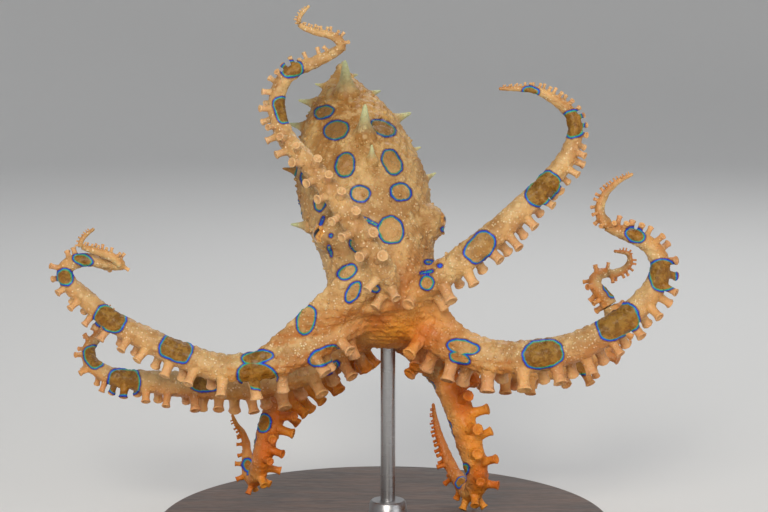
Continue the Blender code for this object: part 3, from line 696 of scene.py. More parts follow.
class Arm:
    """An arm's centre line, its radius and the way its suckers look, read at any distance from its
    start."""

    def __init__(self, name):
        rows = [(x, y, z, *np.sum([LOOKS[c] for c in way], axis=0)) for x, y, z, way in ROUTES[name]]
        self.name = name
        self.at, fine = spline(rows, ARM_TABLE_STEP)
        self.length = self.at[-1]
        self.line = fine[:, :3]
        self.run = unit(np.gradient(self.line, axis=0))
        down = fine[:, 3:] - (fine[:, 3:] * self.run).sum(axis=1, keepdims=True) * self.run
        self.down = unit(down)

    def read(self, at):
        """Centre, direction, sucker side and flank at each distance."""
        centre, run, down = (
            np.stack([np.interp(at, self.at, column) for column in table.T], axis=-1)
            for table in (self.line, self.run, self.down)
        )
        run = unit(run)
        down = unit(down - (down * run).sum(axis=-1, keepdims=True) * run)
        return centre, run, down, np.cross(run, down)

    def radius(self, at):
        """From the thickest to the tip's, less by the share of the length to the power of the taper."""
        share = np.clip(np.asarray(at) / self.length, 0, 1)
        return TIP_RADIUS + (ARM_RADIUS[self.name] - TIP_RADIUS) * (1 - share**TAPER)

    def sucker_places(self):
        """Distances of all the suckers, and how far each leans: they stand in two rows, turn about."""
        places = [FIRST_SUCKER]
        while places[-1] < self.length - BARE_TIP:
            places.append(places[-1] + SUCKER_PITCH * float(self.radius(places[-1])) + SUCKER_STEP)
        places = np.array(places[:-1])
        return places, np.where(np.arange(len(places)) % 2, SUCKER_LEAN, -SUCKER_LEAN)


class Body:
    """The round body of mantle, head and crown, read at any distance from the mantle's tip."""

    def __init__(self):
        self.at, fine = spline(BODY, BODY_TABLE_STEP)
        self.line = fine[:, :3]
        self.half = fine[:, 3:]
        self.run = unit(np.gradient(self.line, axis=0))
        self.length = self.at[-1]

    def read(self, at):
        """Centre, direction downwards, way to the left arms, way out of the back, and the two half
        sizes."""
        centre, run, half = (
            np.stack([np.interp(at, self.at, column) for column in table.T], axis=-1)
            for table in (self.line, self.run, self.half)
        )
        run = unit(run)
        back = np.array([math.sin(BODY_YAW), -math.cos(BODY_YAW), 0.0])
        back = unit(back - (back * run).sum(axis=-1, keepdims=True) * run)
        return centre, run, np.cross(back, run), back, half

    def surface(self, at, angle):
        """Places on the skin at distances and angles from the middle of the back, and the ways out and
        down: each place is the centre plus half width times sine sideways plus half depth times cosine
        backwards."""
        centre, run, side, back, half = self.read(at)
        s, c = np.sin(angle)[..., None], np.cos(angle)[..., None]
        wide, deep = half[..., :1], half[..., 1:]
        spot = centre + wide * s * side + deep * c * back
        return spot, unit(s / wide * side + c / deep * back), run

    def at_height(self, height):
        """The distance from the mantle's tip at which the body's line passes a height."""
        return float(np.interp(-height, -self.line[:, 2], self.at))


def grid_faces(rows, columns, wraps=True):
    """Four-sided faces of a grid of points, its last column joined to the first where it wraps."""
    i = np.arange(rows - 1)[:, None]
    j = np.arange(columns if wraps else columns - 1)[None, :]
    k = (j + 1) % columns
    corners = (i * columns + j, i * columns + k, (i + 1) * columns + k, (i + 1) * columns + j)
    return np.stack(np.broadcast_arrays(*corners), axis=-1).reshape(-1, 4)


def closed_tube(rings):
    """Points and faces of a grid of rings (rows, sides, 3) whose two ends are closed to a point in the
    middle."""
    rows, sides = rings.shape[:2]
    points = np.vstack([rings.reshape(-1, 3), rings[0].mean(axis=0), rings[-1].mean(axis=0)])
    j = np.arange(sides)
    k = (j + 1) % sides
    first = np.stack([np.full(sides, rows * sides), k, j], axis=1)
    top = (rows - 1) * sides
    last = np.stack([np.full(sides, rows * sides + 1), top + j, top + k], axis=1)
    return points, [grid_faces(rows, sides), first, last]


def joined(parts):
    """Several (points, face groups) as one."""
    points, faces, start = [], [], 0
    for some_points, some_faces in parts:
        points.append(some_points)
        faces += [group + start for group in some_faces]
        start += len(some_points)
    return np.vstack(points), faces


def signed_volume(points, faces):
    """Six times the volume inside the faces, each cut into triangles from its first corner."""
    total = 0.0
    for group in faces:
        for k in range(1, group.shape[1] - 1):
            a, b, c = points[group[:, 0]], points[group[:, k]], points[group[:, k + 1]]
            total += float((a * np.cross(b, c)).sum())
    return total


def facing_out(points, faces):
    """The same closed surface with its faces looking out."""
    if signed_volume(points, faces) < 0:
        faces = [group[:, ::-1] for group in faces]
    return points, faces


def mesh_object(name, points, faces, look=None):
    """A smooth mesh object at the origin from points in millimetres and groups of faces."""
    mesh = bpy.data.meshes.new(name)
    sizes = np.concatenate([np.full(len(group), group.shape[1]) for group in faces])
    corners = np.concatenate([group.reshape(-1) for group in faces])
    mesh.vertices.add(len(points))
    mesh.vertices.foreach_set("co", (np.asarray(points) * MM).astype(np.float32).reshape(-1))
    mesh.loops.add(len(corners))
    mesh.loops.foreach_set("vertex_index", corners.astype(np.int32))
    mesh.polygons.add(len(sizes))
    mesh.polygons.foreach_set("loop_start", np.concatenate([[0], np.cumsum(sizes)[:-1]]).astype(np.int32))
    mesh.polygons.foreach_set("use_smooth", np.ones(len(sizes), bool))
    mesh.update(calc_edges=True)
    made = bpy.data.objects.new(name, mesh)
    bpy.context.scene.collection.objects.link(made)
    if look:
        mesh.materials.append(look)
    return made


def mesh_points(made):
    """Places and normals of an object's vertices, places in millimetres."""
    count = len(made.data.vertices)
    places = np.empty(count * 3, np.float32)
    normals = np.empty(count * 3, np.float32)
    made.data.vertices.foreach_get("co", places)
    made.data.vertices.foreach_get("normal", normals)
    return places.reshape(-1, 3).astype(float) / MM, normals.reshape(-1, 3).astype(float)


def set_attribute(made, name, values):
    """Keeps one number for each vertex."""
    layer = made.data.attributes.new(name, "FLOAT", "POINT")
    layer.data.foreach_set("value", np.asarray(values, np.float32))


def turned(origin, axis, across, heights, radii, sides):
    """Rings of a round piece: a profile of heights along the axis and radii, carried round it."""
    axis = unit(axis)
    across = unit(np.asarray(across, float) - np.dot(across, axis) * axis)
    other = np.cross(axis, across)
    angle = np.arange(sides) * 2 * math.pi / sides
    ring = np.cos(angle)[:, None] * across + np.sin(angle)[:, None] * other
    middles = np.asarray(origin, float) + np.asarray(heights, float)[:, None] * axis
    return middles[:, None] + np.asarray(radii, float)[:, None, None] * ring[None]


def many_turned(origins, axes, across, heights, radii, sides):
    """Points and faces of many like round pieces at once: heights and radii have a row for each piece."""
    axes = unit(axes)
    across = unit(across - (across * axes).sum(axis=1, keepdims=True) * axes)
    other = np.cross(axes, across)
    angle = np.arange(sides) * 2 * math.pi / sides
    ring = np.cos(angle)[None, :, None] * across[:, None] + np.sin(angle)[None, :, None] * other[:, None]
    middles = origins[:, None] + heights[:, :, None] * axes[:, None]
    rings = middles[:, :, None] + radii[:, :, None, None] * ring[:, None]
    count, rows = heights.shape
    each = rows * sides + 2
    points = np.concatenate([rings.reshape(count, -1, 3), middles[:, :1], middles[:, -1:]], axis=1)
    _, faces = closed_tube(rings[0])
    starts = (np.arange(count) * each)[:, None, None]
    return points.reshape(-1, 3), [(group[None] + starts).reshape(-1, group.shape[1]) for group in faces]


def lumps(points):
    """Small heights over places in millimetres: products of sine waves along three skewed directions,
    each set of waves shorter and lower than the one before."""
    total = np.zeros(points.shape[:-1])
    for number, waves in enumerate(LUMP_WAVES):
        phase = points @ LUMP_SKEW * (2 * math.pi * waves) + number * LUMP_SHIFT
        total += np.sin(phase).prod(axis=-1) * LUMP_GAIN / (1 + number)
    return LUMP_HIGH * total


def arm_rings(arm, stations, end):
    """Rings round an arm's centre line, square to it: the radius, thinned towards the end that lies
    inside the other skin, times a swelling under each sucker's root, plus lumps."""
    near_end = np.clip(1 - np.abs(stations - end) / HAND_OVER, 0, 1)
    radius = arm.radius(stations) - HAND_OVER_DEPTH * near_end
    centre, _, down, flank = arm.read(stations)
    angle = np.arange(ARM_SIDES) * 2 * math.pi / ARM_SIDES
    ring = np.cos(angle)[None, :, None] * down[:, None] + np.sin(angle)[None, :, None] * flank[:, None]
    places, lean = arm.sucker_places()
    away = (stations[:, None] - places[None]) / (PAD_LONG * arm.radius(places)[None])
    turn = (angle[:, None] - lean[None] + math.pi) % (2 * math.pi) - math.pi
    near = np.exp(-(away**2)) @ np.exp(-((turn / PAD_WIDE) ** 2)).T
    grown = radius[:, None] * (1 + PAD_SWELL * near)
    plain = centre[:, None] + grown[:, :, None] * ring
    rough = lumps(plain) * np.minimum(1, arm.radius(stations) / LUMP_FULL_RADIUS)[:, None]
    return plain + rough[:, :, None] * ring


def outer_arm(arm):
    """The free length of an arm as one tube with a rounded tip; it starts thin inside the body's skin."""
    start = SKIN_REACH[arm.name] - HAND_OVER
    rings = arm_rings(arm, np.arange(start, arm.length, ARM_STEP), start)
    tip, run, _, _ = arm.read(arm.length)
    rings = np.concatenate([rings, (rings[-1:] - tip) * TIP_SHARE + tip + run * TIP_REACH])
    return facing_out(*closed_tube(rings))


def root_arm(arm):
    """The inner length of an arm, fused into the body's skin; it ends thin inside the free length."""
    end = SKIN_REACH[arm.name]
    return facing_out(*closed_tube(arm_rings(arm, np.arange(0.0, end, ROOT_STEP), end)))


def suckers(arm, rng):
    """All suckers of an arm: a profile turned about an axis that leans left and right of the arm's sucker
    side, each sized by the arm's radius there and a little unlike the next. Also the pale tone of each
    point."""
    places, lean = arm.sucker_places()
    centre, run, down, flank = arm.read(places)
    radius = arm.radius(places)
    way = np.cos(lean)[:, None] * down + np.sin(lean)[:, None] * flank
    way = unit(way + SUCKER_STRAY * rng.standard_normal((len(places), 3)))
    profile = np.array(SUCKER_PROFILE)
    stretch = 1 + SUCKER_LONGER * rng.standard_normal((len(places), 1))
    rise = profile[None, :, 0]
    heights = np.where(rise > 1, 1 + (rise - 1) * stretch, rise) * radius[:, None]
    wider = 1 + SUCKER_WIDER * rng.standard_normal(len(places))
    radii = profile[None, :, 1] * (radius * wider)[:, None]
    points, faces = many_turned(centre, way, run, heights, radii, SUCKER_SIDES)
    cup = np.clip((profile[:, 0] - CUP_FROM) / CUP_SPAN, 0, 1)
    cup[MOUTH_ROW:] = MOUTH_TONE
    cup = np.concatenate([np.repeat(cup, SUCKER_SIDES), [0.0, MOUTH_MIDDLE_TONE]])
    return points, faces, np.tile(cup, len(places))


def web_sheet(first, second, reach_one, reach_two, drawn_in):
    """The web between two arms: straight lines from arm to arm, drawn towards the hub by a sine across
    the web that grows with the distance from it, and given a thickness."""
    hub = np.asarray(HUB_AT)
    share = np.linspace(WEB_START, 1, WEB_ROWS)[:, None, None]
    w = np.linspace(0, 1, WEB_COLUMNS)[None, :, None]
    a = first.read(share[:, 0, 0] * reach_one)[0][:, None]
    b = second.read(share[:, 0, 0] * reach_two)[0][:, None]
    flat = a + (b - a) * w
    grid = flat + (hub - flat) * drawn_in * share * np.sin(math.pi * w)
    normal = unit(np.cross(np.gradient(grid, axis=0), np.gradient(grid, axis=1)))
    upper = grid + normal * WEB_THICK / 2
    lower = grid - normal * WEB_THICK / 2
    return facing_out(*sheet_shell(upper, lower))


def sheet_shell(upper, lower):
    """Closed shell of two like grids joined along their four edges."""
    rows, columns = upper.shape[:2]
    under = rows * columns
    top = grid_faces(rows, columns, False)
    index = np.arange(under).reshape(rows, columns)
    rim = np.concatenate([index[0, :-1], index[:-1, -1], index[-1, :0:-1], index[:0:-1, 0]])
    after = np.roll(rim, -1)
    side = np.stack([after, rim, rim + under, after + under], axis=1)
    points = np.vstack([upper.reshape(-1, 3), lower.reshape(-1, 3)])
    return points, [top, top[:, ::-1] + under, side]


def body_shell(body):
    """Mantle, head and crown: ellipses along a bent line."""
    stations = np.linspace(0, body.length, int(body.length / BODY_STEP))
    angle = np.arange(BODY_SIDES) * 2 * math.pi / BODY_SIDES
    rings = body.surface(*np.broadcast_arrays(stations[:, None], angle[None]))[0]
    return facing_out(*closed_tube(rings))


def ball_grid(rows, sides):
    """A ball of radius one without its poles: sine of v times cosine of u, sine of v times sine of u,
    cosine of v."""
    v = np.linspace(0, math.pi, rows + 2)[1:-1, None]
    u = np.arange(sides)[None, :] * 2 * math.pi / sides
    return np.sin(v) * np.cos(u), np.sin(v) * np.sin(u), np.cos(v) + 0 * u


def egg(middle, radii, tilt=0.0):
    """A ball stretched along the three axes, then tilted about the X axis."""
    rings = np.stack(ball_grid(BALL_ROWS, BALL_SIDES), axis=-1)
    c, s = math.cos(tilt), math.sin(tilt)
    turn = np.array([[1, 0, 0], [0, c, -s], [0, s, c]])
    rings = rings * np.asarray(radii, float) @ turn.T + np.asarray(middle)
    return facing_out(*closed_tube(rings))


def eye_places(body):
    """Middle of each eye's mound, the way it looks, and the ways across it and down it."""
    centre, run, side, back, _ = body.read(body.at_height(EYE_HEIGHT))
    places = {}
    for name, sign in (("right", -1), ("left", 1)):
        out = unit(sign * side + EYE_TURN * back)
        middle = centre + sign * EYE_SIDE * side + EYE_FRONT * back
        places[name] = (middle, out, unit(np.cross(out, run)), run)
    return places


def open_lids(points, body):
    """Pushes the skin in front of each eye inside the eyeball, within an oval of angles about the way it
    looks."""
    for middle, out, across, run in eye_places(body).values():
        eye = middle + out * EYE_OUT
        from_eye = points - eye
        distance = np.linalg.norm(from_eye, axis=1)
        toward = from_eye / np.maximum(distance, 1e-9)[:, None]
        angle = np.arccos(np.clip(toward @ out, -1, 1))
        x, y = toward @ across, toward @ run
        flat = np.maximum(np.hypot(x, y), 1e-9)
        limit = 1 / np.hypot(x / flat / LID_OPENING[0], y / flat / LID_OPENING[1])
        inside = np.clip((limit - angle) / LID_EDGE, 0, 1) * (distance < LID_RADIUS + LID_BEYOND)
        wanted = np.minimum(distance, EYE_RADIUS - LID_SUNK)
        points = eye + toward * (distance + (wanted - distance) * inside)[:, None]
    return points


def body_skin(body, arms):
    """One skin over mantle, head, crown, webs and arm roots: the closed pieces fused on small cells and
    smoothed."""
    parts = [body_shell(body), egg(HUB_AT, HUB_SIZE, HUB_TILT)]
    parts += [root_arm(arm) for arm in arms.values()]
    parts += [web_sheet(arms[one], arms[two], a, b, drawn) for one, two, a, b, drawn in WEBS]
    for middle, out, _, _ in eye_places(body).values():
        parts.append(egg(middle - out * LID_IN, [LID_RADIUS] * 3))
    loose = mesh_object("loose_skin", *joined(parts))
    fuse = loose.modifiers.new("fuse", "REMESH")
    fuse.mode = "VOXEL"
    fuse.voxel_size = SKIN_CELL * MM
    soften = loose.modifiers.new("soften", "SMOOTH")
    soften.factor = SMOOTHING_FACTOR
    soften.iterations = SKIN_SMOOTHING
    graph = bpy.context.evaluated_depsgraph_get()
    mesh = bpy.data.meshes.new_from_object(loose.evaluated_get(graph))
    bpy.data.objects.remove(loose, do_unlink=True)
    made = bpy.data.objects.new("body_skin", mesh)
    bpy.context.scene.collection.objects.link(made)
    mesh.shade_smooth()
    places, normals = mesh_points(made)
    places = open_lids(places + normals * lumps(places)[:, None], body)
    mesh.vertices.foreach_set("co", (places * MM).astype(np.float32).reshape(-1))
    mesh.update()
    return made


def spikes(body, rng):
    """Flared skin spikes that lean towards the mantle's tip: a profile turned about the way out of the
    skin less the lean times the way down the body. Also the pale tone of each point."""
    rows = list(SPIKES)
    for row in BACK_SPIKE_ROWS:
        for degrees in BACK_SPIKE_ANGLES:
            at = row + rng.uniform(-ROW_STRAY, ROW_STRAY)
            turn = degrees + rng.uniform(-ANGLE_STRAY, ANGLE_STRAY)
            rows.append((at, turn, BACK_SPIKE_LENGTH, BACK_SPIKE_LEAN))
    at, degrees, length, lean = np.array(rows).T
    spot, out, run = body.surface(at, np.radians(degrees))
    way = unit(out - lean[:, None] * run)
    profile = np.array(SPIKE_PROFILE)
    heights = profile[None, :, 0] * length[:, None]
    radii = profile[None, :, 1] * (SPIKE_ROOT * length + SPIKE_LEAST_ROOT)[:, None]
    points, faces = many_turned(spot, way, run, heights, radii, SPIKE_SIDES)
    tip = np.repeat(np.clip(profile[:, 0] * SPIKE_PALING, 0, 1), SPIKE_SIDES)
    tip = np.concatenate([tip, [0.0, 1.0]])
    return points, faces, np.tile(tip, len(length))


def warts(made, arms, rng):
    """Low blunt cones on the upper skin of body and webs, each square to the skin at a point drawn by
    lot. Their sizes are squares of even draws, so that most are small."""
    places, normals = mesh_points(made)
    dorsal = nearest_arm(places, arms)[2]
    upper = (dorsal > WART_LOWEST) | (places[:, 2] > BODY_SKIN_HEIGHT)
    chosen = rng.choice(np.flatnonzero(upper), WART_COUNT, replace=False)
    size = rng.uniform(0, 1, WART_COUNT) ** 2
    high = WART_HEIGHT[0] + (WART_HEIGHT[1] - WART_HEIGHT[0]) * size
    wide = WART_RADIUS[0] + (WART_RADIUS[1] - WART_RADIUS[0]) * size
    profile = np.array(WART_PROFILE)
    across = np.cross(normals[chosen], rng.standard_normal((WART_COUNT, 3)))
    heights, radii = profile[None, :, 0] * high[:, None], profile[None, :, 1] * wide[:, None]
    return many_turned(places[chosen], normals[chosen], across, heights, radii, WART_SIDES)


def siphon_tube(body):
    """The funnel: a profile turned about an axis that points out and down from the hidden side of the
    head."""
    spot, out, run = body.surface(body.at_height(SIPHON_HEIGHT), np.array(math.pi))
    way = unit(out + SIPHON_DOWN * run)
    share, radii = np.array(SIPHON_PROFILE).T
    heights = share * (SIPHON_LENGTH + SIPHON_SUNK) - SIPHON_SUNK
    rings = turned(spot, way, run, heights, radii, SIPHON_SIDES)
    return facing_out(*closed_tube(rings))


def to_view(points):
    """Picture points across and down, and depth, of places in millimetres: turned by the view's tilt,
    then scaled by the view's distance over the distance to the place."""
    c, s = math.cos(VIEW_TILT), math.sin(VIEW_TILT)
    x, y, z = points[:, 0], points[:, 1], points[:, 2] - VIEW_HEIGHT
    deep = y * c - z * s
    up = y * s + z * c
    scale = VIEW_POINTS * VIEW_DISTANCE / (VIEW_DISTANCE + deep)
    return VIEW_WIDE / 2 + x * scale, VIEW_HIGH / 2 - up * scale, deep


def view_ray(across, down):
    """The eye of the front view, and the direction in which a picture point is seen."""
    c, s = math.cos(VIEW_TILT), math.sin(VIEW_TILT)
    forward = np.array([0, c, -s])
    up = np.array([0, s, c])
    eye = np.array([0, 0, VIEW_HEIGHT]) - forward * VIEW_DISTANCE
    right = (across - VIEW_WIDE / 2) / VIEW_POINTS
    high = (VIEW_HIGH / 2 - down) / VIEW_POINTS
    return eye, unit(forward * VIEW_DISTANCE + np.array([right, 0, 0]) + up * high)


def oval_distance(x, y, half_wide, half_high, degrees, square=2.0):
    """Rough distance from the outline |x/w|^p + |y/h|^p = 1, negative inside: the value less 1 over its
    slope."""
    turn = math.radians(degrees)
    a = np.abs(x * math.cos(turn) + y * math.sin(turn)) / half_wide
    b = np.abs(y * math.cos(turn) - x * math.sin(turn)) / half_high
    share = np.maximum((a**square + b**square) ** (1 / square), 1e-6)
    along = (a / share) ** (square - 1) / half_wide
    across = (b / share) ** (square - 1) / half_high
    return (share - 1) / np.maximum(np.hypot(along, across), 1e-6)


def ring_depths(tree, rows):
    """Depth at which each seen marking lies on the skin, met by a ray through its middle."""
    depths = []
    for across, down, *_ in rows:
        eye, way = view_ray(across, down)
        hit = tree.ray_cast(eye * MM, way)[0]
        spot = np.array([[*hit]]) / MM if hit else eye[None] + way[None] * VIEW_DISTANCE
        depths.append(float(to_view(spot)[2][0]))
    return depths


def nearest_arm(points, arms):
    """For each place: which arm is nearest, how far along it, the cosine of the angle from its dorsal
    side, and how far its centre line is."""
    best = np.full(len(points), np.inf)
    which = np.zeros(len(points), int)
    along = np.zeros(len(points))
    dorsal = np.zeros(len(points))
    for number, arm in enumerate(arms.values()):
        at = np.arange(0, arm.length, SEARCH_STEP)
        centre, run, down, _ = arm.read(at)
        for start in range(0, len(points), SEARCH_BATCH):
            part = slice(start, start + SEARCH_BATCH)
            some = points[part]
            square = (some**2).sum(axis=1)[:, None] + (centre**2).sum(axis=1)[None] - 2 * some @ centre.T
            index = square.argmin(axis=1)
            near = square[np.arange(len(some)), index]
            offset = some - centre[index]
            better = near < best[part]
            best[part] = np.where(better, near, best[part])
            which[part] = np.where(better, number, which[part])
            shift = (offset * run[index]).sum(axis=1)
            along[part] = np.where(better, at[index] + shift, along[part])
            side = offset - shift[:, None] * run[index]
            cosine = -(unit(side) * down[index]).sum(axis=1)
            dorsal[part] = np.where(better, cosine, dorsal[part])
    return which, along, dorsal, np.sqrt(np.maximum(best, 0))


def ring_distance(points, normals, depths, body, arms, on_arms):
    """Distance in millimetres of each place from the nearest marking's outline, negative inside it.

    A seen marking is an oval in the front view, kept near the depth of its middle. A hidden ring is an
    oval in the plane that touches the body there, and a hidden saddle one in distances along the arm and
    round it.
    """
    across, down, deep = to_view(points)
    eye, _ = view_ray(VIEW_WIDE / 2, VIEW_HIGH / 2)
    turned_away = (normals * unit(eye - points)).sum(axis=1) < LEAST_FACING
    which, along, dorsal, distance = on_arms
    nearest = np.full(len(points), FAR)
    seen = ((SEEN_RINGS, depths[0], turned_away), (SEEN_SADDLES, depths[1], False))
    for rows, row_depths, left_out in seen:
        for (u, v, wide, high, degrees, square), depth in zip(rows, row_depths):
            away = oval_distance(across - u, down - v, wide / 2, high / 2, degrees, square) / VIEW_POINTS
            hidden = left_out | (deep < depth - SEEN_BEFORE) | (deep > depth + SEEN_DEPTH)
            nearest = np.minimum(nearest, np.where(hidden, FAR, away))
    for height, degrees, wide, high in HIDDEN_RINGS:
        spot, out, run = body.surface(body.at_height(height), np.radians(degrees))
        from_spot = points - spot
        x, y = from_spot @ unit(np.cross(out, run)), from_spot @ run
        away = oval_distance(x, y, wide / 2, high / 2, 0)
        hidden = (np.abs(from_spot @ out) > RING_DEEP) | (normals @ out < 0)
        nearest = np.minimum(nearest, np.where(hidden, FAR, away))
    for number, (name, arm) in enumerate(arms.items()):
        for place in HIDDEN_SADDLES.get(name, ()):
            radius = float(arm.radius(place))
            x, y = along - place, np.arccos(np.clip(dorsal, -1, 1)) * radius
            away = oval_distance(x, y, SADDLE_LONG * radius, SADDLE_WIDE * radius, 0, SADDLE_SQUARE)
            here = (which == number) & (distance < radius + SADDLE_DEEP)
            nearest = np.minimum(nearest, np.where(here, away, FAR))
    return nearest


def surface_tree(pieces):
    """A search tree over the faces of several objects."""
    points, faces, start = [], [], 0
    for made in pieces:
        places, _ = mesh_points(made)
        points += (places * MM).tolist()
        faces += [[start + v for v in polygon.vertices] for polygon in made.data.polygons]
        start += len(places)
    return BVHTree.FromPolygons(points, faces)


class Nodes:
    """Short ways to add and join shader nodes in one tree."""

    def __init__(self, tree):
        self.tree = tree

    def add(self, kind, **values):
        """A new node of a kind, with its settings."""
        node = self.tree.nodes.new(kind)
        for key, value in values.items():
            setattr(node, key, value)
        return node

    def link(self, source, target):
        self.tree.links.new(source, target)

    def math(self, operation, one, two=0.0):
        """A sum, product or the like of one or two values, each a number or a node's output."""
        node = self.add("ShaderNodeMath", operation=operation)
        for socket, value in zip(node.inputs, (one, two)):
            if isinstance(value, (int, float)):
                socket.default_value = value
            else:
                self.link(value, socket)
        return node.outputs[0]

    def times(self, one, two):
        return self.math("MULTIPLY", one, two)

    def span(self, value, low, high, to_low=0.0, to_high=1.0):
        """The value carried from one span to another, held at its ends."""
        node = self.add("ShaderNodeMapRange", interpolation_type="SMOOTHSTEP")
        self.link(value, node.inputs["Value"])
        ends = {"From Min": low, "From Max": high, "To Min": to_low, "To Max": to_high}
        for name, number in ends.items():
            node.inputs[name].default_value = number
        return node.outputs[0]

    def blend(self, share, one, two):
        """A colour that goes from one to two as the share goes from nought to one."""
        node = self.add("ShaderNodeMix", data_type="RGBA")
        for socket, value in ((node.inputs[0], share), (node.inputs[6], one), (node.inputs[7], two)):
            if isinstance(value, tuple):
                socket.default_value = (*value, 1.0)
            elif isinstance(value, (int, float)):
                socket.default_value = value
            else:
                self.link(value, socket)
        return node.outputs[2]

    def noise(self, vector, scale, detail=2.0, rough=0.5):
        """Cloudy noise over places."""
        node = self.add("ShaderNodeTexNoise")
        self.link(vector, node.inputs["Vector"])
        node.inputs["Scale"].default_value = scale
        node.inputs["Detail"].default_value = detail
        node.inputs["Roughness"].default_value = rough
        return node.outputs["Fac"]

    def cells(self, vector, scale):
        """Distance from the middle of the nearest of many scattered cells."""
        node = self.add("ShaderNodeTexVoronoi")
        self.link(vector, node.inputs["Vector"])
        node.inputs["Scale"].default_value = scale
        return node.outputs["Distance"]

    def streaks(self, group, stretch, scale, detail, rough):
        """The streaks' group with its own values."""
        node = self.add("ShaderNodeGroup", node_tree=group)
        given = {"Stretch": stretch, "Scale": scale, "Detail": detail, "Roughness": rough}
        for name, value in given.items():
            node.inputs[name].default_value = value
        return node.outputs["Streak"]

    def attribute(self, name):
        """A number kept on the mesh."""
        return self.add("ShaderNodeAttribute", attribute_name=name).outputs["Fac"]

    def object_place(self):
        return self.add("ShaderNodeTexCoord").outputs["Object"]


def new_material(name):
    """A material with its Principled shader and a node helper."""
    made = bpy.data.materials.new(name)
    made.use_nodes = True
    return made, Nodes(made.node_tree), made.node_tree.nodes["Principled BSDF"]


def skin_tone(n, broad, fine, patches, dots, blots, mantle, amber_and_painted_light):
    """The skin's colour without its rings, one layer over another: peach or brown, patches, stipple,
    blots, the suckers' cream, amber with the painted glow of light through the crown, and the green of
    the spikes' tips."""
    tone = n.blend(n.span(broad, 0.35, 0.65), PEACH, PALE_PEACH)
    brown = n.blend(n.span(broad, 0.4, 0.62), BROWN, PALE_BROWN)
    tone = n.blend(n.times(mantle, mantle), tone, brown)
    tone = n.blend(n.times(n.span(patches, 0.48, 0.66), 0.55), tone, PALE_PATCH)
    tone = n.blend(n.times(n.span(patches, 0.46, 0.32), 0.45), tone, DARK_PATCH)
    stipple = n.times(n.span(dots, 0.42, 0.12), n.span(fine, 0.42, 0.6))
    tone = n.blend(n.times(stipple, 0.9), tone, n.blend(mantle, CREAM_DOT, MANTLE_DOT))
    tone = n.blend(n.times(n.span(blots, 0.3, 0.14), 0.3), tone, SAND_BLOT)
    tone = n.blend(n.times(n.attribute("cup"), 0.7), tone, CUP_CREAM)
    honey = n.blend(n.span(broad, 0.35, 0.65), DEEP_AMBER, LIGHT_AMBER)
    # Amber of undersides, with the painted glow of light through the crown and webs laid on in the same
    # colour
    tone = n.blend(n.times(amber_and_painted_light, 0.95), tone, honey)
    return n.blend(n.times(n.attribute("tip"), 0.85), tone, TIP_GREEN)


def ring_bands(n, place, mantle, base, fill):
    """The skin's colour with its rings: from outside in a shade, a blue line, a brighter one, a teal edge
    and the fill, each by the wavering distance from the ring's outline and darker on the mantle."""
    waver = n.times(n.math("SUBTRACT", n.noise(place, WAVER_WAVES, 2.0), 0.5), 0.8)
    ring = n.math("ADD", n.attribute("ring"), waver)
    sides = n.span(n.noise(place, SIDE_WAVES, 1.0), 0.42, 0.58)
    dark = n.times(mantle, 0.65)
    colour = n.blend(n.times(n.span(ring, *SHADE_BAND), 0.8), base, SHADE)
    colour = n.blend(n.span(ring, *OUTER_BAND), colour, n.blend(dark, OUTER_BLUE, OUTER_MANTLE))
    inner = n.blend(dark, n.blend(sides, INNER_BLUE, INNER_TEAL), INNER_MANTLE)
    colour = n.blend(n.span(ring, *INNER_BAND), colour, inner)
    edge = n.blend(dark, n.blend(sides, EDGE_TEAL, EDGE_GREEN), EDGE_MANTLE)
    colour = n.blend(n.span(ring, *EDGE_BAND), colour, edge)
    return n.blend(n.span(ring, *FILL_BAND), colour, fill)


def skin_material():
    """Peach skin stippled with cream, browner on the mantle and amber below, with blue-edged rings.

    The distance from the rings' outlines, the mantle's tone, the amber with its painted glow of light
    through the crown and webs, the suckers' cups, the spikes' tips and the bare fill are numbers kept on
    the mesh.
    """
    made, n, shader = new_material("octopus_skin")
    place = n.object_place()
    broad = n.noise(place, BROAD_WAVES, 3.0)
    fine = n.noise(place, FINE_WAVES, 4.0, 0.6)
    patches = n.noise(place, PATCH_WAVES, 4.0, 0.65)
    dots = n.cells(place, DOT_CELLS)
    blots = n.cells(place, BLOT_CELLS)
    mantle = n.attribute("mantle")
    amber_and_painted_light = n.attribute("amber_and_painted_light")
    base = skin_tone(n, broad, fine, patches, dots, blots, mantle, amber_and_painted_light)
    fill = n.blend(n.span(fine, 0.42, 0.6), FILL_DARK, FILL_LIGHT)
    fill = n.blend(n.span(mantle, 0.0, 0.1), fill, n.blend(mantle, FILL_MANTLE_LOW, FILL_MANTLE_HIGH))
    # Ring fills turn amber under the painted glow too
    fill = n.blend(n.times(amber_and_painted_light, 0.5), fill, FILL_AMBER)
    fill = n.blend(n.times(n.attribute("bare"), 0.7), fill, base)
    n.link(ring_bands(n, place, mantle, base, fill), shader.inputs["Base Color"])
    n.link(n.span(fine, 0.3, 0.7, 0.40, 0.58), shader.inputs["Roughness"])
    shader.inputs["Subsurface Weight"].default_value = 0.2
    shader.inputs["Subsurface Radius"].default_value = (1.0, 0.4, 0.15)
    shader.inputs["Subsurface Scale"].default_value = 0.001
    shader.inputs["Specular IOR Level"].default_value = 0.3
    shader.inputs["Coat Weight"].default_value = 0.08
    shader.inputs["Coat Roughness"].default_value = 0.2
    grain = n.math("ADD", n.times(fine, 0.7), n.times(n.span(dots, 0.5, 0.1), 0.5))
    height = n.math("ADD", grain, n.span(blots, 0.45, 0.1))
    bump = n.add("ShaderNodeBump")
    bump.inputs["Strength"].default_value = 0.6
    bump.inputs["Distance"].default_value = 0.0004
    n.link(height, bump.inputs["Height"])
    n.link(bump.outputs["Normal"], shader.inputs["Normal"])
    return made


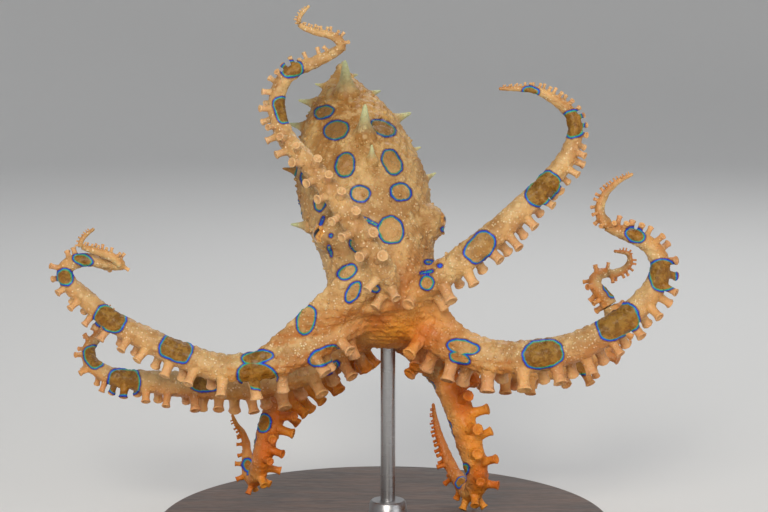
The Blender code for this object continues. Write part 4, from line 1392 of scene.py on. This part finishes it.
def eye_material():
    """Gold iris with a slanted dark pupil, worked out from the eye's own UV map, under a clear gloss."""
    made, n, shader = new_material("octopus_eye")
    uv = n.add("ShaderNodeUVMap", uv_map="eye")
    split = n.add("ShaderNodeSeparateXYZ")
    n.link(uv.outputs["UV"], split.inputs[0])
    x, y = split.outputs[0], split.outputs[1]
    away = n.math("SQRT", n.math("ADD", n.times(x, x), n.times(y, y)))
    beyond = []
    for (along_x, along_y), half in zip((PUPIL_LONG, PUPIL_SHORT), PUPIL_HALF):
        across = n.math("ADD", n.times(x, along_x), n.times(y, along_y))
        beyond.append(n.math("SUBTRACT", n.math("ABSOLUTE", across), half))
    slit = n.math("MAXIMUM", *beyond)
    flecks = n.noise(n.object_place(), IRIS_FLECKS, 3.0)
    iris = n.blend(n.span(flecks, 0.35, 0.65), IRIS_BROWN, IRIS_GOLD)
    iris = n.blend(n.span(away, *IRIS_RIM), iris, IRIS_RIM_COLOUR)
    colour = n.blend(n.span(slit, PUPIL_EDGE, 0.0), iris, PUPIL_BLACK)
    n.link(colour, shader.inputs["Base Color"])
    shader.inputs["Roughness"].default_value = 0.2
    shader.inputs["Coat Weight"].default_value = 1.0
    shader.inputs["Coat Roughness"].default_value = 0.03
    return made


def streaks_group():
    """The streaks that wood and steel share, as a node group: cloudy noise over places, each first
    multiplied by a stretch along the three axes."""
    group = bpy.data.node_groups.new("streaks", "ShaderNodeTree")
    group.interface.new_socket("Stretch", in_out="INPUT", socket_type="NodeSocketVector")
    for name in ("Scale", "Detail", "Roughness"):
        group.interface.new_socket(name, in_out="INPUT", socket_type="NodeSocketFloat")
    group.interface.new_socket("Streak", in_out="OUTPUT", socket_type="NodeSocketFloat")
    n = Nodes(group)
    given = n.add("NodeGroupInput")
    mapping = n.add("ShaderNodeMapping")
    n.link(n.object_place(), mapping.inputs["Vector"])
    n.link(given.outputs["Stretch"], mapping.inputs["Scale"])
    noise = n.add("ShaderNodeTexNoise")
    n.link(mapping.outputs["Vector"], noise.inputs["Vector"])
    for name in ("Scale", "Detail", "Roughness"):
        n.link(given.outputs[name], noise.inputs[name])
    n.link(noise.outputs["Fac"], n.add("NodeGroupOutput").inputs["Streak"])
    return group


def wood_material(group):
    """Dark hardwood with long grain along X and a satin varnish."""
    made, n, shader = new_material("base_hardwood")
    grain = n.streaks(group, WOOD_STRETCH, 60.0, 5.0, 0.6)
    pores = n.streaks(group, WOOD_STRETCH, 400.0, 2.0, 0.5)
    n.link(n.blend(n.span(grain, 0.35, 0.65), DARK_WOOD, LIGHT_WOOD), shader.inputs["Base Color"])
    n.link(n.span(pores, 0.3, 0.7, 0.28, 0.42), shader.inputs["Roughness"])
    shader.inputs["Coat Weight"].default_value = 0.3
    shader.inputs["Coat Roughness"].default_value = 0.15
    return made


def steel_material(group):
    """Brushed steel, its fine scratches running round the rod."""
    made, n, shader = new_material("rod_steel")
    brushed = n.streaks(group, STEEL_STRETCH, 120.0, 3.0, 0.5)
    shader.inputs["Base Color"].default_value = STEEL_GREY
    shader.inputs["Metallic"].default_value = 1.0
    n.link(n.span(brushed, 0.3, 0.7, 0.25, 0.45), shader.inputs["Roughness"])
    return made


def eyeball(name, middle, out, across, run, look):
    """A ball whose pole looks out; its UV map holds the two directions across the eye, in eye radii."""
    flat_x, flat_y, high = ball_grid(EYE_ROWS, EYE_SIDES)
    rings = flat_x[..., None] * across + flat_y[..., None] * run + high[..., None] * out
    centre = middle + out * EYE_OUT
    points, faces = facing_out(*closed_tube(centre + EYE_RADIUS * rings))
    made = mesh_object(name, points, faces, look)
    away = (points - centre) / EYE_RADIUS
    corners = np.concatenate([group.reshape(-1) for group in faces])
    flat = np.stack([away @ across, away @ run], axis=1)[corners]
    made.data.uv_layers.new(name="eye").data.foreach_set("uv", flat.astype(np.float32).reshape(-1))
    return made


def finish_skin(made, depths, body, arms, on_body=False, cup=None, tip=None):
    """Keeps the numbers that the skin's material reads: ring, bare, mantle, amber and painted light, cup
    and tip.

    Amber is the greatest of three shares. The first is a painted glow of light shining through the crown
    and webs round one place, which falls as e to the minus square of the distance. The second is the
    share of undersides, told by the normal on the body and by the arm's dorsal side on an arm. The third
    is a share all round the arms held low, partly their orange-brown skin and partly painted shade.
    """
    places, normals = mesh_points(made)
    on_arms = nearest_arm(places, arms)
    which, dorsal = on_arms[0], on_arms[2]
    set_attribute(made, "ring", ring_distance(places, normals, depths, body, arms, on_arms))
    mantle = np.clip((places[:, 2] - MANTLE_TONE[0]) / (MANTLE_TONE[1] - MANTLE_TONE[0]), 0, 1)
    if on_body:
        front = MANTLE_FRONT + MANTLE_FRONT_LEAN * (places[:, 2] - MANTLE_FRONT_HEIGHT)
        mantle = mantle * np.clip((places[:, 1] - front) / MANTLE_FRONT_BLEND, 0, 1)
        low = np.clip((AMBER_TOP - places[:, 2]) / AMBER_FADE, 0, 1)
        under = BODY_AMBER * np.clip(UNDER_FROM - normals[:, 2] * UNDER_GAIN, 0, 1) * low
    else:
        mantle = np.zeros(len(places))
        warm = np.array([ARM_AMBER[name] for name in arms])[which]
        under = warm * np.clip(UNDER_FROM - dorsal, 0, 1)
        # The arms held low take amber all round: partly their orange-brown skin, partly painted shade
        under = np.maximum(under, np.where(warm > LOW_ARM, LOW_ARM_AMBER_AND_SHADE, 0.0))
    # Painted glow: light shining through the thin crown and webs, laid into the skin as amber
    painted_glow = np.exp(-((np.linalg.norm(places - np.array(PAINTED_GLOW_AT), axis=1) / PAINTED_GLOW_SIZE) ** 2))
    away = np.linalg.norm(places - np.array(BARE_AT), axis=1)
    set_attribute(made, "bare", np.clip((BARE_REACH[1] - away) / (BARE_REACH[1] - BARE_REACH[0]), 0, 1))
    set_attribute(made, "mantle", mantle)
    set_attribute(made, "amber_and_painted_light", np.maximum(under, painted_glow))
    set_attribute(made, "cup", np.zeros(len(places)) if cup is None else cup)
    set_attribute(made, "tip", np.zeros(len(places)) if tip is None else tip)


def build_animal():
    """All the flesh and both eyes. The arms' random draws come first, then the spikes' and the warts'."""
    body = Body()
    arms = {name: Arm(name) for name in ROUTES}
    rng = np.random.default_rng(SEED)
    skin = skin_material()
    gold = eye_material()
    whole = body_skin(body, arms)
    tubes = {name: mesh_object("arm_" + name + "_skin", *outer_arm(arm)) for name, arm in arms.items()}
    on_body = ring_depths(surface_tree([whole]), SEEN_RINGS)
    depths = on_body, ring_depths(surface_tree([whole, *tubes.values()]), SEEN_SADDLES)
    whole.data.materials.append(skin)
    finish_skin(whole, depths, body, arms, True)
    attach(whole, "root")
    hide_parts("mantle", "head", "crown", *[f"arm_{name}_root" for name in arms])
    for name, made in tubes.items():
        made.data.materials.append(skin)
        finish_skin(made, depths, body, arms)
        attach(made, "root")
        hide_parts(*[f"arm_{name}_{length}" for length in ("lower", "upper", "tip")])
        points, faces, cup = suckers(arms[name], rng)
        cups = mesh_object("arm_" + name + "_suckers", points, faces, skin)
        finish_skin(cups, depths, body, arms, False, cup)
        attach(cups, "root")
    points, faces, tip = spikes(body, rng)
    thorns = mesh_object("mantle_spikes", points, faces, skin)
    finish_skin(thorns, depths, body, arms, True, None, tip)
    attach(thorns, "root")
    bumps = mesh_object("skin_warts", *warts(whole, arms, rng), skin)
    finish_skin(bumps, depths, body, arms, True)
    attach(bumps, "root")
    funnel = mesh_object("siphon_skin", *siphon_tube(body), skin)
    finish_skin(funnel, depths, body, arms, True)
    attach(funnel, "root")
    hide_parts("siphon")
    for name, (middle, out, across, run) in eye_places(body).items():
        eye = eyeball("eyeball_" + name, middle, out, across, run, gold)
        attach(eye, "root")
        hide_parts("eye_" + name)


def build_stand():
    """The base, an outline with a bevelled foot and a quarter-round top edge turned about Z, and the rod,
    one with a tapered collar and a bevelled end turned about its own upright axis."""
    group = streaks_group()
    up, across = (0, 0, 1), (1, 0, 0)
    bend = np.linspace(0, math.pi / 2, BASE_EDGE_POINTS)[1:]
    heights = [0.0, 0.0, BASE_BEVEL, BASE_THICK - BASE_EDGE]
    heights += list(BASE_THICK - BASE_EDGE * (1 - np.sin(bend))) + [BASE_THICK]
    radii = [BASE_UNDER_RING, BASE_RADIUS - BASE_BEVEL, BASE_RADIUS, BASE_RADIUS]
    radii += list(BASE_RADIUS - BASE_EDGE * (1 - np.cos(bend))) + [BASE_TOP_RING]
    rings = turned((0, 0, 0), up, across, heights, radii, BASE_SIDES)
    base = mesh_object("stand_base_turned", *facing_out(*closed_tube(rings)), wood_material(group))
    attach(base, "root")
    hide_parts("stand_base")
    foot = BASE_THICK + GAP
    collar = foot + COLLAR_HIGH
    shoulder = COLLAR_RADIUS - COLLAR_TAPER
    outline = (
        (foot, COLLAR_RADIUS - STEEL_BEVEL),
        (foot + STEEL_BEVEL, COLLAR_RADIUS),
        (collar - COLLAR_SHOULDER, shoulder),
        (collar, shoulder - COLLAR_SHOULDER),
        (collar, ROD_RADIUS),
        (ROD_TOP - STEEL_BEVEL, ROD_RADIUS),
        (ROD_TOP, ROD_RADIUS - STEEL_BEVEL),
    )
    rings = turned((*ROD_AT, 0), up, across, *zip(*outline), ROD_SIDES)
    rod = mesh_object("stand_rod_turned", *facing_out(*closed_tube(rings)), steel_material(group))
    rod.data.set_sharp_from_angle(angle=ROD_SHARP_EDGE)
    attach(rod, "root")
    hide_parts("stand_rod")


def build_stage():
    """A pale round floor that sweeps up all round: a straight line, a quarter circle and a wall, turned
    about Z."""
    bend = np.linspace(0, math.pi / 2, STAGE_BEND_POINTS)
    curve = STAGE_RADIUS - STAGE_BEND + STAGE_BEND * np.sin(bend)
    out = np.concatenate([[STAGE_MIDDLE], curve, [STAGE_RADIUS]])[:, None]
    up = np.concatenate([[0.0], STAGE_BEND - STAGE_BEND * np.cos(bend), [STAGE_HIGH]])[:, None]
    angle = np.arange(STAGE_SIDES)[None, :] * 2 * math.pi / STAGE_SIDES
    grid = np.stack([out * np.cos(angle), out * np.sin(angle), up + 0 * angle], axis=-1)
    middle = np.arange(STAGE_SIDES)[None, ::-1]
    look, _, shader = new_material("pale_floor")
    shader.inputs["Base Color"].default_value = FLOOR_GREY
    shader.inputs["Roughness"].default_value = 0.8
    faces = [grid_faces(len(out), STAGE_SIDES)[:, ::-1], middle]
    floor = mesh_object("floor", grid.reshape(-1, 3), faces, look)


def light(name, place, target, size, power, colour):
    """A soft square light that looks at a target; places in millimetres."""
    data = bpy.data.lights.new(name, "AREA")
    data.size = size * MM
    data.energy = power
    data.color = colour
    made = bpy.data.objects.new(name, data)
    bpy.context.scene.collection.objects.link(made)
    place, target = np.asarray(place, float), np.asarray(target, float)
    back = unit(place - target)
    right = unit(np.cross((0.0, 0.0, 1.0), back))
    up = np.cross(back, right)
    turn = Matrix(np.stack([right, up, back], axis=1).tolist()).to_4x4()
    made.matrix_world = Matrix.Translation(place * MM) @ turn


def build_light_and_camera():
    """Soft lights, a pale sky and the camera of the front view, whose lens is the sensor's width times
    the view's distance over the width that it sees there."""
    for name, place, size, power, colour in LIGHTS:
        light(name, place, LIT_PLACE, size, power, colour)
    world = bpy.data.worlds.new("studio")
    world.use_nodes = True
    world.node_tree.nodes["Background"].inputs["Color"].default_value = SKY_COLOUR
    world.node_tree.nodes["Background"].inputs["Strength"].default_value = SKY_STRENGTH
    bpy.context.scene.world = world
    data = bpy.data.cameras.new("camera")
    data.sensor_width = SENSOR_WIDTH
    data.lens = data.sensor_width * VIEW_DISTANCE / (VIEW_WIDE / VIEW_POINTS)
    data.clip_start = NEAREST_SEEN
    camera = bpy.data.objects.new("camera", data)
    eye, _ = view_ray(VIEW_WIDE / 2, VIEW_HIGH / 2)
    camera.location = eye * MM
    camera.rotation_euler = (math.pi / 2 - VIEW_TILT, 0, 0)
    bpy.context.scene.collection.objects.link(camera)
    bpy.context.scene.camera = camera


build_animal()
build_stand()
build_stage()
build_light_and_camera()
bpy.context.scene.view_settings.view_transform = "Standard"
